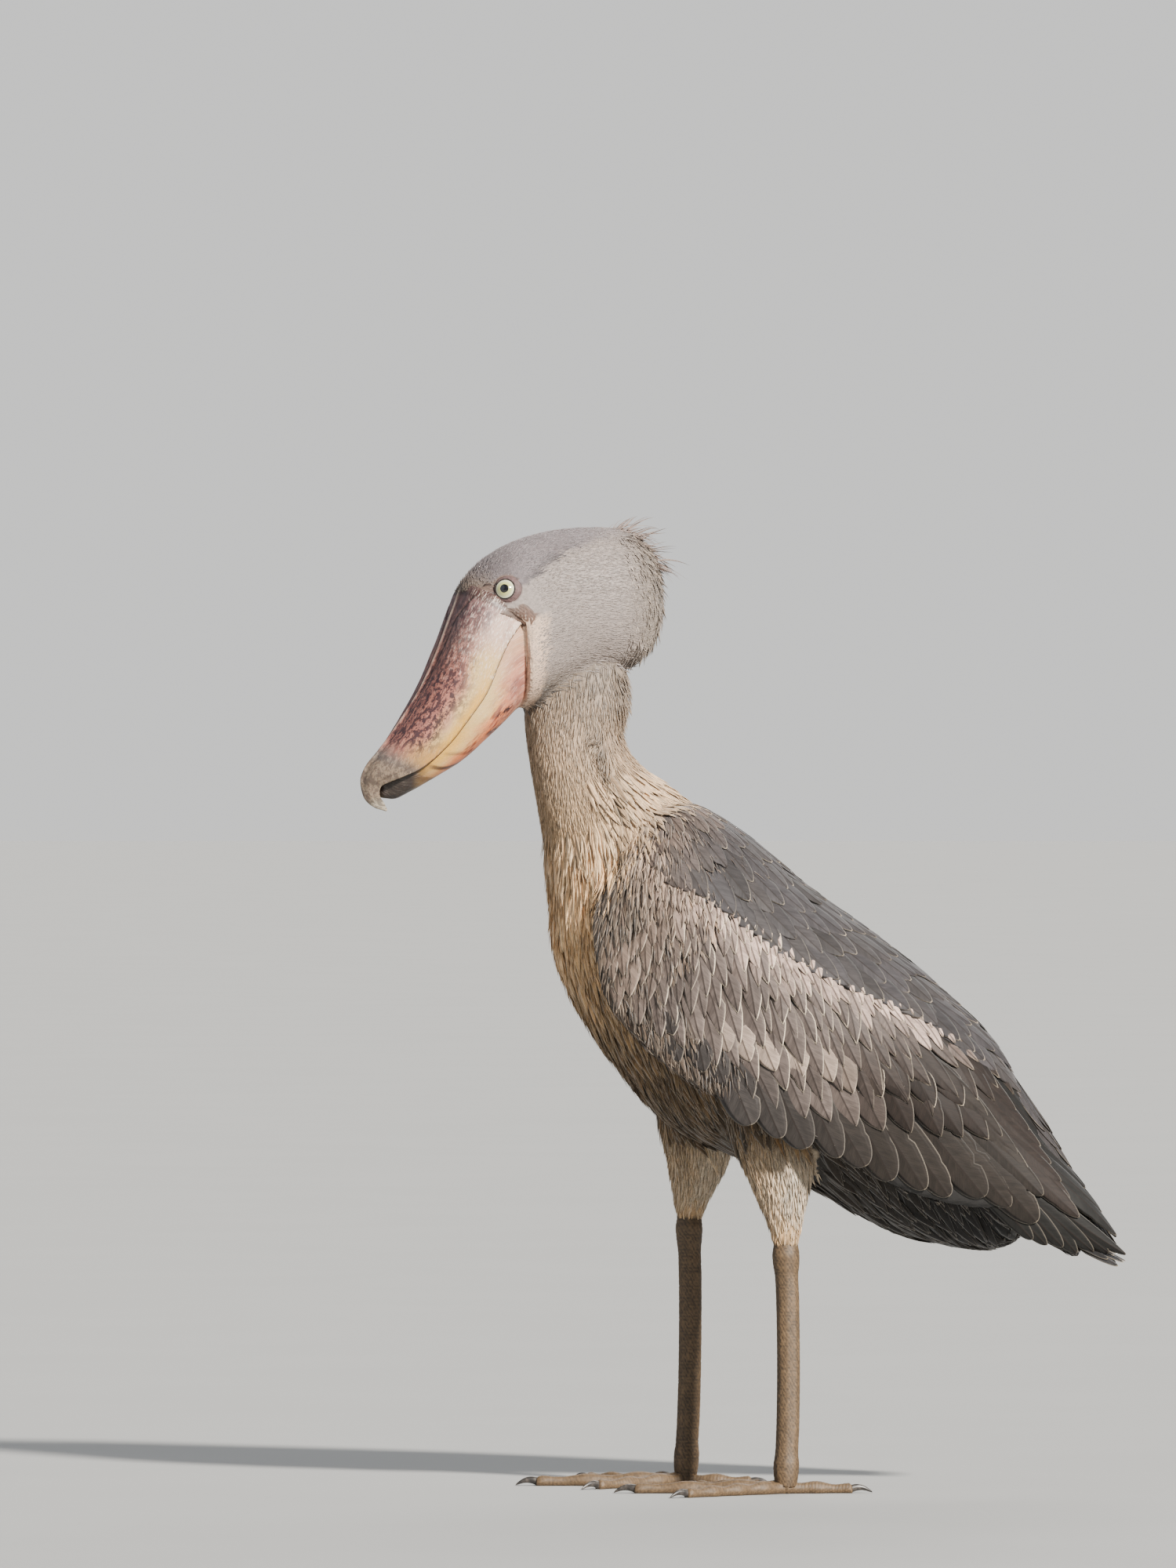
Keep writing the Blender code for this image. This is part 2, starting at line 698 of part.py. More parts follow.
def wing_vanes(sheet, chance):
    vanes = []
    for row in FEATHER_ROWS:
        start, end = np.array(row["from"], float), np.array(row["to"], float)
        for i in range(row["count"]):
            t = i / (row["count"] - 1)
            scale = 1 + FEATHER_VARIATION * chance.uniform(-1, 1)
            tip = start + (end - start) * t
            degrees = row["angle"][0] + (row["angle"][1] - row["angle"][0]) * t
            vanes.append(vane(sheet.place, tip, degrees, row["length"] * scale, row["width"]))
    return vanes


def wing_core(sheet, name, look):
    start, end = WING_SECTIONS[0][0], WING_CORE["end"]
    rings = []
    for along in [row[0] for row in WING_SECTIONS if row[0] < end] + [end]:
        top, low = sheet.section(along)[:2]
        thick = sheet.section(along)[5]
        fade = (along - WING_CORE["edge_from"]) / (WING_CORE["edge_full"] - WING_CORE["edge_from"])
        stop = 1 - WING_CORE["edge"] * min(1.0, max(0.0, fade)) / (low - top)
        outer, inner = [], []
        for i in range(WING_CORE_POINTS_ACROSS):
            share = stop * (1 - math.cos(math.pi * i / (WING_CORE_POINTS_ACROSS - 1) * 0.5))
            point, normal = sheet.at_share(along, share), sheet.normal(along, share)
            depth = WING_CORE["depth"] * min(1.0, max(0.0, along - start) / 60)
            deep = depth + thick * (1 - 0.65 * max(0.0, share - 0.5) / 0.5)
            for side, distance in ((outer, depth), (inner, deep)):
                spot = point - normal * distance
                spot[1] = sheet.sign * max(sheet.sign * spot[1], WING_MIDLINE_GAP)
                side.append(spot)
        rings.append(outer + inner[::-1])
    return loft(name, rings, look)


def mirrored(shape, name):
    """The same closed mesh on the bird's other side."""
    mesh = shape.data.copy()
    mesh.transform(Matrix.Scale(-1, 4, (0, 1, 0)))
    mesh.flip_normals()
    made = bpy.data.objects.new(name, mesh)
    bpy.context.scene.collection.objects.link(made)
    return made


def make_wings(look):
    sheet = WingSheet("left")
    left = wing_core(sheet, "wing_left", look)
    combine(left, wing_vanes(sheet, np.random.default_rng(FEATHER_SEED)), "UNION", "MANIFOLD")
    return {"left": left, "right": mirrored(left, "wing_right")}


def make_tail(look):
    root, tip = np.array(TAIL["root"], float), np.array(TAIL["tip"], float)
    length = np.linalg.norm(tip - root)
    way = (tip - root) / length
    up = np.array([-way[1], way[0]])
    top = TAIL["thickness"][1] / 2

    def place(along, around, height):
        drop = around**2 / (2 * TAIL["camber_radius"])
        x, z = root + way * along + up * (top + height - drop)
        return np.array([x, around, z])

    rings = []
    for t in np.linspace(0, TAIL["core_share"], 4):
        half_width = np.interp(t, (0, 1), TAIL["half_width"])
        half_thick = np.interp(t, (0, 1), TAIL["thickness"]) / 2
        ring = []
        for i in range(14):
            c, s = rounded(2 * math.pi * i / 14, 3.0)
            ring.append(place(length * t, half_width * c, half_thick * s - top))
        rings.append(ring)
    tail = loft("tail", rings, look)
    quills = []
    for i in range(TAIL["quills"]):
        t = 2 * i / (TAIL["quills"] - 1) - 1
        spot = (length - 5 * t * t, t * (TAIL["half_width"][1] - TAIL["quill_width"] * 0.3))
        tilt = math.copysign(VANE_TILT, -t)
        quills.append(
            vane(place, spot, TAIL["quill_spread"] * t, TAIL["quill_length"], TAIL["quill_width"], tilt)
        )
    combine(tail, quills, "UNION", "MANIFOLD")
    return tail


def make_leg(side, looks):
    leg, sign = LEGS[side], SIDES[side]
    rows = between(leg["thigh"], 2)
    rings = []
    for i, (x, z, deep, wide) in enumerate(rows):
        y = sign * (leg["hip_y"] + (leg["ankle_y"] - leg["hip_y"]) * i / (len(rows) - 1))
        rings.append([
            (x + deep * math.cos(a), y + wide * math.sin(a), z)
            for a in (2 * math.pi * k / THIGH_POINTS for k in range(THIGH_POINTS))
        ])
    thigh = loft(f"thigh_{side}", rings, looks["plumage"])
    ankle = np.array([leg["ankle"][0], sign * leg["ankle_y"], leg["ankle"][1]])
    foot = np.array([leg["foot"][0], sign * leg["foot"][1], foot_top() + GAP])
    rings = []
    for share, deep, wide in between(SHANK_SECTIONS, 2):
        centre = ankle + (foot - ankle) * share
        rings.append([
            centre + np.array([deep * math.cos(a), wide * math.sin(a), 0])
            for a in (2 * math.pi * k / SHANK_POINTS for k in range(SHANK_POINTS))
        ])
    shank = loft(f"shank_{side}", rings, looks["leg"])
    return thigh, shank, foot


def foot_top():
    """The height of the toes where the shank stands on them."""
    thickest = max(size[2] for size in TOES.values())
    return thickest * (1 + TOE_JOINT_SWELL) * (1 + TOE_AXIS_SHARE)


def toe_rings(foot, side, name):
    """Rings of a toe that lies on the floor, flat where it touches and trimmed beside its neighbours."""
    degrees, length, root_radius, end_radius = TOES[name]
    turn = list(TOES)
    place = turn.index(name)
    after = (TOES[turn[(place + 1) % len(turn)]][0] - degrees) % 360 / 2
    before = (degrees - TOES[turn[place - 1]][0]) % 360 / 2
    angle = math.radians(degrees) * -SIDES[side]
    way = np.array([-math.cos(angle), math.sin(angle), 0.0])
    across = -SIDES[side] * np.array([math.sin(angle), math.cos(angle), 0.0])
    rings = []
    for i in range(TOE_SEGMENTS + 1):
        t = i / TOE_SEGMENTS
        swell = 1 + TOE_JOINT_SWELL * math.cos(2 * math.pi * TOE_JOINTS * t)
        radius = (root_radius + (end_radius - root_radius) * t) * swell
        out = TOE_ROOT_OUT + (length - TOE_ROOT_OUT) * t
        most = out * math.tan(math.radians(after)) - GAP / 2 / math.cos(math.radians(after))
        least = out * math.tan(math.radians(before)) - GAP / 2 / math.cos(math.radians(before))
        ring = []
        for k in range(TOE_POINTS):
            a = 2 * math.pi * (k + 0.5) / TOE_POINTS
            aside = min(most, max(-least, radius * math.cos(a)))
            up = max(0.0, radius * (TOE_AXIS_SHARE + math.sin(a)))
            ring.append(foot + way * out + across * aside + np.array([0, 0, up]))
        rings.append(ring)
    return np.array(rings), way, across


def claw_rings(tip_ring, way, side, radius):
    """A claw that leaves the toe's end and bends down to the floor."""
    start = tip_ring.mean(0)
    start[2] = radius * TOE_AXIS_SHARE
    rings = []
    for t in (0.0, 0.35, 0.7, 1.0):
        size = radius * 0.78 * (1 - t) ** 0.7 + 0.5
        rise = 1.2 * math.sin(math.pi * t) - (start[2] - 1.0) * t**2
        centre = start + way * (GAP + CLAW_LENGTH * t) + np.array([0, 0, rise])
        ring = []
        for k in range(6):
            a = 2 * math.pi * (k + 0.5) / 6
            ring.append(centre + side * size * 0.8 * math.cos(a) + np.array([0, 0, size * math.sin(a)]))
        rings.append(ring)
    rings = np.array(rings)
    rings[..., 2] = np.maximum(rings[..., 2], 0.0)
    return rings


def make_toes(side, foot, looks):
    ground = foot * np.array([1, 1, 0])
    for name, sizes in TOES.items():
        rings, way, across = toe_rings(ground, side, name)
        loft(f"toe_{side}_{name}", rings, looks["leg"])
        loft(f"claw_{side}_{name}", claw_rings(rings[-1], way, across, sizes[3]), looks["claw"])


def build():
    clear_scene()
    looks = {
        "plumage": material("plumage", PLUMAGE_GREY, 0.85),
        "head": material("head_plumage", PLUMAGE_PALE, 0.85),
        "bill": material("bill", BILL_PINK, 0.45),
        "leg": material("leg_skin", LEG_GREY, 0.7),
        "claw": material("claw", CLAW_DARK, 0.4),
        "eye": material("iris", IRIS_CREAM, 0.15),
    }
    neck, torso = make_body(looks["plumage"])
    eyes = [make_eye(side, looks["eye"]) for side in SIDES]
    head = make_head(looks["head"], eyes)
    upper, lower = make_bill(looks["bill"])
    cut_clear(upper, [head])
    cut_clear(lower, [upper, head])
    cut_clear(neck, [head, lower])
    tail = make_tail(looks["plumage"])
    cut_clear(tail, [torso])
    wings = make_wings(looks["plumage"])
    for side in SIDES:
        thigh, shank, foot = make_leg(side, looks)
        cut_clear(thigh, [torso])
        cut_clear(shank, [thigh])
        make_toes(side, foot, looks)
        cut_clear(wings[side], [torso, neck, tail, thigh], "MANIFOLD")


build()
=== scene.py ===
import json
import math
import time

import bmesh
import bpy
import numpy as np
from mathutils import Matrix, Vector
from mathutils.bvhtree import BVHTree
from mathutils.kdtree import KDTree

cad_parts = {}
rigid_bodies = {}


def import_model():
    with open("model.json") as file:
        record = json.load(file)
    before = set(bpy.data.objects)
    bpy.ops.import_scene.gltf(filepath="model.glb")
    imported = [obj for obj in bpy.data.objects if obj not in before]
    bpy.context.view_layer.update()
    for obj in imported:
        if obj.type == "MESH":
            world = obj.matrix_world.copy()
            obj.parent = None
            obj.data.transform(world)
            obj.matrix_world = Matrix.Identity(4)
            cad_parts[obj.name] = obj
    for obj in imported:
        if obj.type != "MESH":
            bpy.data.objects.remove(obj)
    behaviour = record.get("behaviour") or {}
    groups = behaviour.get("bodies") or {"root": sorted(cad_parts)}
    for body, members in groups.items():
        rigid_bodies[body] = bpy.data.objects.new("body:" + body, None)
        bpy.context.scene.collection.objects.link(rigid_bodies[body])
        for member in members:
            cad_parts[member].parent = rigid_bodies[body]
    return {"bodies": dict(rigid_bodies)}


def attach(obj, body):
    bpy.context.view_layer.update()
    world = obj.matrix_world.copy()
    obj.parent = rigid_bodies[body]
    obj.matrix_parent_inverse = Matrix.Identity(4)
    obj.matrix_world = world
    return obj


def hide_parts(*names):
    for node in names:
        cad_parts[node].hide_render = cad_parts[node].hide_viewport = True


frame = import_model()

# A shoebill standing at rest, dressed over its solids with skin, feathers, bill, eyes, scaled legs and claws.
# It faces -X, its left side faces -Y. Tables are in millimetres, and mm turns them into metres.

mm = 0.001
started = time.time()
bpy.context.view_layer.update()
bodyName = list(frame["bodies"])[0]
sides = {"left": -1.0, "right": 1.0}


def report(stage):
    print(f"{stage} ({time.time() - started:.0f} s)")


def deselectAll():
    for thing in bpy.context.selected_objects:
        thing.select_set(False)


def unit(vectors):
    return vectors / np.maximum(np.linalg.norm(vectors, axis=-1, keepdims=True), 1e-9)


def ease(value, low, high):  # 0 at low, 1 at high, with soft ends
    t = np.clip((value - low) / (high - low), 0.0, 1.0)
    return t * t * (3 - 2 * t)


def smoothRows(rows, steps):  # a smooth curve through the rows, with so many steps in each span
    table = np.array(rows, float)
    padded = np.vstack([2 * table[0] - table[1], table, 2 * table[-1] - table[-2]])
    found = []
    for span in range(len(table) - 1):
        a, b, c, d = padded[span : span + 4]
        for step in range(steps):
            t = step / steps
            found.append(0.5 * (2 * b + (c - a) * t + (2 * a - 5 * b + 4 * c - d) * t**2
                                + (3 * b - a - 3 * c + d) * t**3))
    found.append(table[-1])
    return np.array(found)


def superOval(angles, squareness):
    c, s = np.cos(angles), np.sin(angles)
    power = 2 / squareness
    return np.sign(c) * np.abs(c) ** power, np.sign(s) * np.abs(s) ** power


def ovalRings(rows, points, squareness, narrowing, inset):
    # rows hold the front (x, z), the back (x, z) and the half width; positive narrowing slims the front
    c, s = superOval(2 * np.pi * np.arange(points) / points, squareness)
    front, back, wide = rows[:, :2], rows[:, 2:4], rows[:, 4] - inset
    middle, half = (front + back) / 2, (front - back) / 2
    reach = np.linalg.norm(half, axis=1)
    half = half * ((reach - inset) / reach)[:, None]
    xz = middle[:, None] + half[:, None] * c[None, :, None]
    y = wide[:, None] * s[None] * (1 - narrowing * c[None])
    return np.stack([xz[..., 0], y, xz[..., 1]], axis=-1)


def newMesh(name, points, faces):  # points in mm, faces as a list of arrays
    mesh = bpy.data.meshes.new(name)
    groups = [np.asarray(group, np.int32) for group in faces]
    mesh.vertices.add(len(points))
    mesh.vertices.foreach_set("co", (np.asarray(points) * mm).astype(np.float32).ravel())
    corners = np.concatenate([group.ravel() for group in groups])
    sizes = np.concatenate([np.full(len(group), group.shape[1], np.int32) for group in groups])
    mesh.loops.add(len(corners))
    mesh.loops.foreach_set("vertex_index", corners)
    mesh.polygons.add(len(sizes))
    mesh.polygons.foreach_set("loop_start", np.concatenate([[0], np.cumsum(sizes)[:-1]]).astype(np.int32))
    mesh.polygons.foreach_set("use_smooth", np.ones(len(sizes), bool))
    mesh.update(calc_edges=True)
    made = bpy.data.objects.new(name, mesh)
    bpy.context.scene.collection.objects.link(made)
    return made


def ringFaces(count, around):
    i, j = np.meshgrid(np.arange(count - 1), np.arange(around), indexing="ij")
    a, b = i * around + j, i * around + (j + 1) % around
    return np.stack([a, b, b + around, a + around], axis=-1).reshape(-1, 4)


def loftMesh(name, rings):  # a tube through rings, with flat ends
    count, around = rings.shape[:2]
    ends = np.stack([np.arange(around)[::-1], np.arange(around) + (count - 1) * around])
    return newMesh(name, rings.reshape(-1, 3), [ringFaces(count, around), ends])


def closedLoft(name, rings):
    made = loftMesh(name, np.asarray(rings, float))
    faceOutwards(made)
    return made


def faceOutwards(thing, join=True):
    shape = bmesh.new()
    shape.from_mesh(thing.data)
    if join:
        bmesh.ops.remove_doubles(shape, verts=shape.verts, dist=1e-7)
    bmesh.ops.recalc_face_normals(shape, faces=shape.faces)
    shape.to_mesh(thing.data)
    shape.free()


def applyModifier(thing, kind, **values):
    deselectAll()
    thing.select_set(True)
    bpy.context.view_layer.objects.active = thing
    step = thing.modifiers.new(kind.lower(), kind)
    for name, value in values.items():
        setattr(step, name, value)
    bpy.ops.object.modifier_apply(modifier=step.name)


def joinAll(things, name):
    deselectAll()
    for thing in things:
        thing.select_set(True)
    bpy.context.view_layer.objects.active = things[0]
    bpy.ops.object.join()
    things[0].name = name
    things[0].data.name = name
    return things[0]


def meshArrays(thing):  # vertex places in mm, vertex normals
    count = len(thing.data.vertices)
    places, normals = np.zeros(count * 3, np.float32), np.zeros(count * 3, np.float32)
    thing.data.vertices.foreach_get("co", places)
    thing.data.vertex_normals.foreach_get("vector", normals)
    return places.reshape(-1, 3).astype(float) / mm, normals.reshape(-1, 3).astype(float)


def nearestOf(points, places):  # for each place, the number of the nearest point
    tree = KDTree(len(points))
    for index, point in enumerate(points):
        tree.insert(point, index)
    tree.balance()
    return np.array([tree.find(place)[1] for place in places])


def pointLayer(thing, name, kind, values):  # a value for each vertex
    field = {"FLOAT_VECTOR": "vector", "FLOAT_COLOR": "color"}[kind]
    layer = thing.data.attributes.new(name, kind, "POINT")
    layer.data.foreach_set(field, values.astype(np.float32).ravel())


def paintPoints(thing, tint):
    pointLayer(thing, "tint", "FLOAT_COLOR", np.concatenate([tint, np.ones((len(tint), 1))], axis=1))


def uvLayers(thing, layers):  # flat places for each vertex, by layer name
    corners = np.zeros(len(thing.data.loops), np.int32)
    thing.data.loops.foreach_get("vertex_index", corners)
    for name, places in layers.items():
        layer = thing.data.uv_layers.new(name=name)
        layer.data.foreach_set("uv", places[corners].astype(np.float32).ravel())


def travelled(curve):  # length along a curve to each of its points
    return np.concatenate([[0], np.cumsum(np.linalg.norm(np.diff(curve, axis=0), axis=1))])


def evenly(curve, count):  # the same curve with its points evenly spread, and its length
    reach = travelled(curve)
    wanted = np.linspace(0, reach[-1], count)
    return np.stack([np.interp(wanted, reach, curve[:, k]) for k in range(curve.shape[1])], axis=1), reach[-1]


# The body, from inside the head to the rump: front (x, z), back (x, z), half width.
bodyValues = {
    "sections": [
        (-214, 822, -118, 834, 40), (-222, 780, -113, 786, 45), (-219, 737, -119, 749, 47),
        (-212, 694, -100, 721, 55), (-204, 644, -58, 688, 72), (-197, 585, -12, 651, 90),
        (-192, 530, 38, 602, 104), (-169, 477, 88, 560, 111), (-130, 419, 139, 526, 113),
        (-78, 363, 182, 487, 108), (-8, 330, 215, 456, 97), (74, 293, 242, 420, 82),
        (136, 259, 260, 378, 63), (195, 243, 279, 345, 47), (238, 238, 290, 300, 33),
        (264, 246, 292, 278, 14),
    ],
    "points": 72, "steps": 5, "squareness": 2.1, "narrowing": 0.05,
    "coatDepth": [(0, 3.0), (4, 4.0), (6, 5.5), (15, 5.0)],  # section number, depth of the coat there
}

# The head in its own frame: crown (x, z), throat (x, z), half width. It turns to its left about pivotX.
headValues = {
    "sections": [
        (-136, 892, -73, 774, 52), (-120, 913, -54, 780, 57), (-95, 934, -36, 794, 60),
        (-65, 948, -16, 806, 62), (-32, 956, 6, 813, 63), (3, 959, 30, 815, 62),
        (37, 957, 51, 820, 57), (61, 943, 67, 838, 45), (73, 918, 75, 862, 27),
    ],
    "points": 96, "steps": 8, "squareness": 2.3, "cheekWidening": 0.12, "coatDepth": 2.0,
    "turn": math.radians(18), "pivotX": -160,
    "culmenRoot": (-130, 892), "mouthCorner": (-78, 863), "chinRoot": (-70, 776),
}


def turned(points):  # from the head's own frame to the bird's
    points = np.asarray(points, float)
    x, y, z = points[..., 0], points[..., 1], points[..., 2]
    c, s = math.cos(headValues["turn"]), math.sin(headValues["turn"])
    return np.stack([headValues["pivotX"] + x * c - y * s, x * s + y * c, z], axis=-1)


def turnedBack(points):  # from the bird's frame to the head's own
    x, y, z = points[..., 0] - headValues["pivotX"], points[..., 1], points[..., 2]
    c, s = math.cos(headValues["turn"]), math.sin(headValues["turn"])
    return np.stack([x * c + y * s, -x * s + y * c, z], axis=-1)


def bodyRings():
    rows = smoothRows(bodyValues["sections"], bodyValues["steps"])
    stations = np.arange(len(rows)) / bodyValues["steps"]
    depth = np.interp(stations, *np.array(bodyValues["coatDepth"]).T)
    return ovalRings(rows, bodyValues["points"], bodyValues["squareness"], bodyValues["narrowing"], depth)


def headRings():
    rows = smoothRows(headValues["sections"], headValues["steps"])
    rings = ovalRings(rows, headValues["points"], headValues["squareness"],
                      headValues["cheekWidening"], np.full(len(rows), headValues["coatDepth"]))
    return turned(rings)


# The folded wing in its own slanted frame: along from the shoulder to the tip, across from the back
# down to the lower edge. Along, upper edge, lower edge, half widths at the back, widest, and lower edge, thickness.
wingValues = {
    "origin": (-125, 601), "axis": (0.806, -0.592), "across": (-0.592, -0.806),
    "sections": [
        (-12, -85, 20, 52, 86, 82, 18), (8, -108, 52, 34, 105, 100, 26), (38, -116, 82, 20, 117, 110, 29),
        (75, -118, 106, 9, 126, 118, 30), (160, -113, 126, 1.5, 138, 130, 30),
        (235, -114, 123, 1.5, 138, 130, 30), (315, -110, 108, 1.5, 127, 119, 28),
        (390, -99, 103, 1.5, 108, 102, 22), (450, -71, 84, 2, 90, 86, 15), (500, -51, 57, 3, 74, 71, 10),
        (555, -35, 37, 5, 58, 55, 8), (600, -17, 16, 10, 41, 40, 6), (620, -8, -1, 20, 32, 32, 4),
    ],
    "shoulderShare": 0.55, "midlineGap": 0.4, "coreDepth": 4.5, "coreEnd": 530,
    "coreEdge": 24, "edgeFrom": 60, "edgeFull": 240,
    "gridAlong": 160, "gridRound": 150, "roundRange": (-265, 190),
}


class WingSheet:  # the folded wing's outer surface, looked up by place along the wing and round from its middle
    def __init__(self, side):
        self.sign = sides[side]
        rows = smoothRows(wingValues["sections"], 6)
        self.along = np.linspace(rows[0, 0], rows[-1, 0] + 6, wingValues["gridAlong"])
        self.low, self.high = wingValues["roundRange"]
        table = np.stack([np.interp(self.along, rows[:, 0], rows[:, k]) for k in range(1, 7)], axis=1)
        self.table = table
        shares = np.linspace(0.0, 1.35, 91)
        top, low = table[:, 0:1], table[:, 1:2]
        across = top + (low - top) * shares
        points = self.inSpace(self.along[:, None], across, self.width(table, shares))
        steps = np.linalg.norm(np.diff(points, axis=1), axis=-1)
        arcs = np.concatenate([np.zeros((len(points), 1)), np.cumsum(steps, axis=1)], axis=1)
        around = np.linspace(self.low, self.high, wingValues["gridRound"])
        grid = np.zeros((len(points), len(around), 3))
        self.reachUp = np.zeros(len(points))
        for i in range(len(points)):
            middle = np.interp(-top[i, 0] / (low[i, 0] - top[i, 0]), shares, arcs[i])
            self.reachUp[i] = middle
            wanted = around + middle
            for k in range(3):
                grid[i, :, k] = np.interp(wanted, arcs[i], points[i, :, k])
        lengthwise = np.gradient(grid, axis=0)
        across = np.gradient(grid, axis=1)
        across[np.linalg.norm(across, axis=-1) < 1e-6] = (0, 0, -1)
        normal = unit(np.cross(lengthwise, across))
        normal *= np.where(normal[..., 1:2] * self.sign > 0, 1.0, -1.0)
        self.grid, self.normal = grid, self.softened(normal)

    def width(self, table, shares):  # half width at a share of the section, 0 at the back, 1 at the lower edge
        yTop, yMost, yLow = (table[:, k : k + 1] for k in (2, 3, 4))
        turn = wingValues["shoulderShare"]
        rising = yTop + (yMost - yTop) * np.sqrt(np.clip(1 - (1 - shares / turn) ** 2, 0, 1))
        falling = yMost + (yLow - yMost) * ((shares - turn) / (1 - turn)) ** 2
        return np.where(shares < turn, rising, falling)

    def inSpace(self, along, across, width):
        origin, axis, down = wingValues["origin"], wingValues["axis"], wingValues["across"]
        x = origin[0] + axis[0] * along + down[0] * across
        z = origin[1] + axis[1] * along + down[1] * across
        return np.stack([x + 0 * width, self.sign * width, z + 0 * width], axis=-1)

    def softened(self, field):  # a light blur, so that broad vanes bend without a kink
        for axis in (0, 1):
            padded = np.concatenate([np.take(field, [0], axis), field, np.take(field, [-1], axis)], axis)
            count = field.shape[axis]
            field = sum(np.take(padded, np.arange(k, k + count), axis) for k in (0, 1, 2)) / 3
        return unit(field)

    def lookUp(self, field, along, around):
        u = np.clip((along - self.along[0]) / (self.along[-1] - self.along[0]), 0, 1) * (len(self.along) - 1)
        v = np.clip((around - self.low) / (self.high - self.low), 0, 1) * (field.shape[1] - 1)
        i, j = np.minimum(u.astype(int), len(self.along) - 2), np.minimum(v.astype(int), field.shape[1] - 2)
        fu, fv = (u - i)[..., None], (v - j)[..., None]
        return (field[i, j] * (1 - fu) * (1 - fv) + field[i + 1, j] * fu * (1 - fv)
                + field[i, j + 1] * (1 - fu) * fv + field[i + 1, j + 1] * fu * fv)

    def place(self, along, around, height):  # a point at a height over the core, kept on its own side of the spine
        point = self.lookUp(self.grid, along, around)
        point = point + self.lookUp(self.normal, along, around) * (height - wingValues["coreDepth"])[..., None]
        point[..., 1] = self.sign * np.maximum(self.sign * point[..., 1], wingValues["midlineGap"])
        return point

    def coreRings(self, points):
        start, end = wingValues["sections"][0][0], wingValues["coreEnd"]
        rings = []
        for along in np.linspace(start, end, 44):
            row = np.array([[np.interp(along, self.along, self.table[:, k]) for k in range(6)]])
            top, low, thick = row[0, 0], row[0, 1], row[0, 5]
            fade = np.clip((along - wingValues["edgeFrom"])
                           / (wingValues["edgeFull"] - wingValues["edgeFrom"]), 0, 1)
            stop = 1 - wingValues["coreEdge"] * fade / (low - top)
            share = stop * (1 - np.cos(np.pi / 2 * np.linspace(0, 1, points)))
            across = top + (low - top) * share
            outer = self.inSpace(np.full(points, along), across, self.width(row, share)[0])
            slope = np.gradient(outer, axis=0)
            lengthwise = np.array([wingValues["axis"][0], 0, wingValues["axis"][1]])
            normal = unit(np.cross(np.broadcast_to(lengthwise, slope.shape), slope))
            normal *= np.where(normal[:, 1:2] * self.sign > 0, 1.0, -1.0)
            depth = wingValues["coreDepth"] * np.clip((along - start) / 60, 0, 1) + 1.0
            deep = depth + thick * (1 - 0.65 * np.maximum(0, share - 0.5) / 0.5)
            inner = outer - normal * deep[:, None]
            outer = outer - normal * depth
            for part in (outer, inner):
                part[:, 1] = self.sign * np.maximum(self.sign * part[:, 1], wingValues["midlineGap"])
            rings.append(np.concatenate([outer, inner[::-1]]))
        return np.array(rings)


# Thighs: centre (x, z), half depth along X, half width along Y.
legValues = {
    "left": {
        "thigh": [(18, 385, 44, 36), (26, 345, 41, 34), (33, 320, 36, 30), (36, 295, 27, 23),
                  (39, 268, 18.5, 16), (40, 243, 13.0, 12.0)],
        "hipY": 58, "ankleY": 64, "ankle": (40, 236), "foot": (40, 74),
    },
    "right": {
        "thigh": [(-48, 390, 42, 36), (-47, 352, 38, 33), (-46, 328, 33, 29), (-49, 304, 25, 22),
                  (-53, 284, 17.5, 16), (-55, 264, 13.0, 12.0)],
        "hipY": 58, "ankleY": 62, "ankle": (-55, 259), "foot": (-58, 70),
    },
    "coatDepth": 3.5, "thighPoints": 48,
    # share of the way down, half depth along X, half width along Y
    "shank": [(-0.12, 10.5, 9.5), (-0.045, 12.0, 10.5), (0.0, 13.3, 11.3), (0.05, 12.8, 11.0), (0.14, 11.0, 9.5),
              (0.5, 10.7, 9.0), (0.85, 11.0, 9.4), (0.94, 12.6, 11.2), (1.0, 11.8, 10.8), (1.04, 10.0, 9.5)],
    "shankPoints": 48, "shankRings": 170,
}


def thighRings(side):
    leg, sign = legValues[side], sides[side]
    rows = smoothRows(leg["thigh"], 6)
    t = np.linspace(0, 1, len(rows))
    y = sign * (leg["hipY"] + (leg["ankleY"] - leg["hipY"]) * t)
    angles = 2 * np.pi * np.arange(legValues["thighPoints"]) / legValues["thighPoints"]
    deep = rows[:, 2:3] - legValues["coatDepth"] * (1 - 0.7 * t[:, None])
    wide = rows[:, 3:4] - legValues["coatDepth"] * (1 - 0.7 * t[:, None])
    x = rows[:, 0:1] + deep * np.cos(angles)
    return np.stack([x, y[:, None] + wide * np.sin(angles), rows[:, 1:2] + 0 * x], axis=-1)


# The tail: root and tip in profile, half widths and thickness at each, and the camber across it.
tailValues = {
    "root": (232, 300), "tip": (376, 222), "halfWidth": (38, 44), "thickness": (26, 9),
    "coreShare": 0.7, "camberRadius": 90,
}


def tailPlace(along, around, height):
    root, tip = np.array(tailValues["root"], float), np.array(tailValues["tip"], float)
    way = (tip - root) / np.linalg.norm(tip - root)
    up = np.array([-way[1], way[0]])
    rise = tailValues["thickness"][1] / 2 + height - around**2 / (2 * tailValues["camberRadius"])
    x = root[0] + way[0] * along + up[0] * rise
    z = root[1] + way[1] * along + up[1] * rise
    return np.stack([x, around + 0 * x, z], axis=-1)


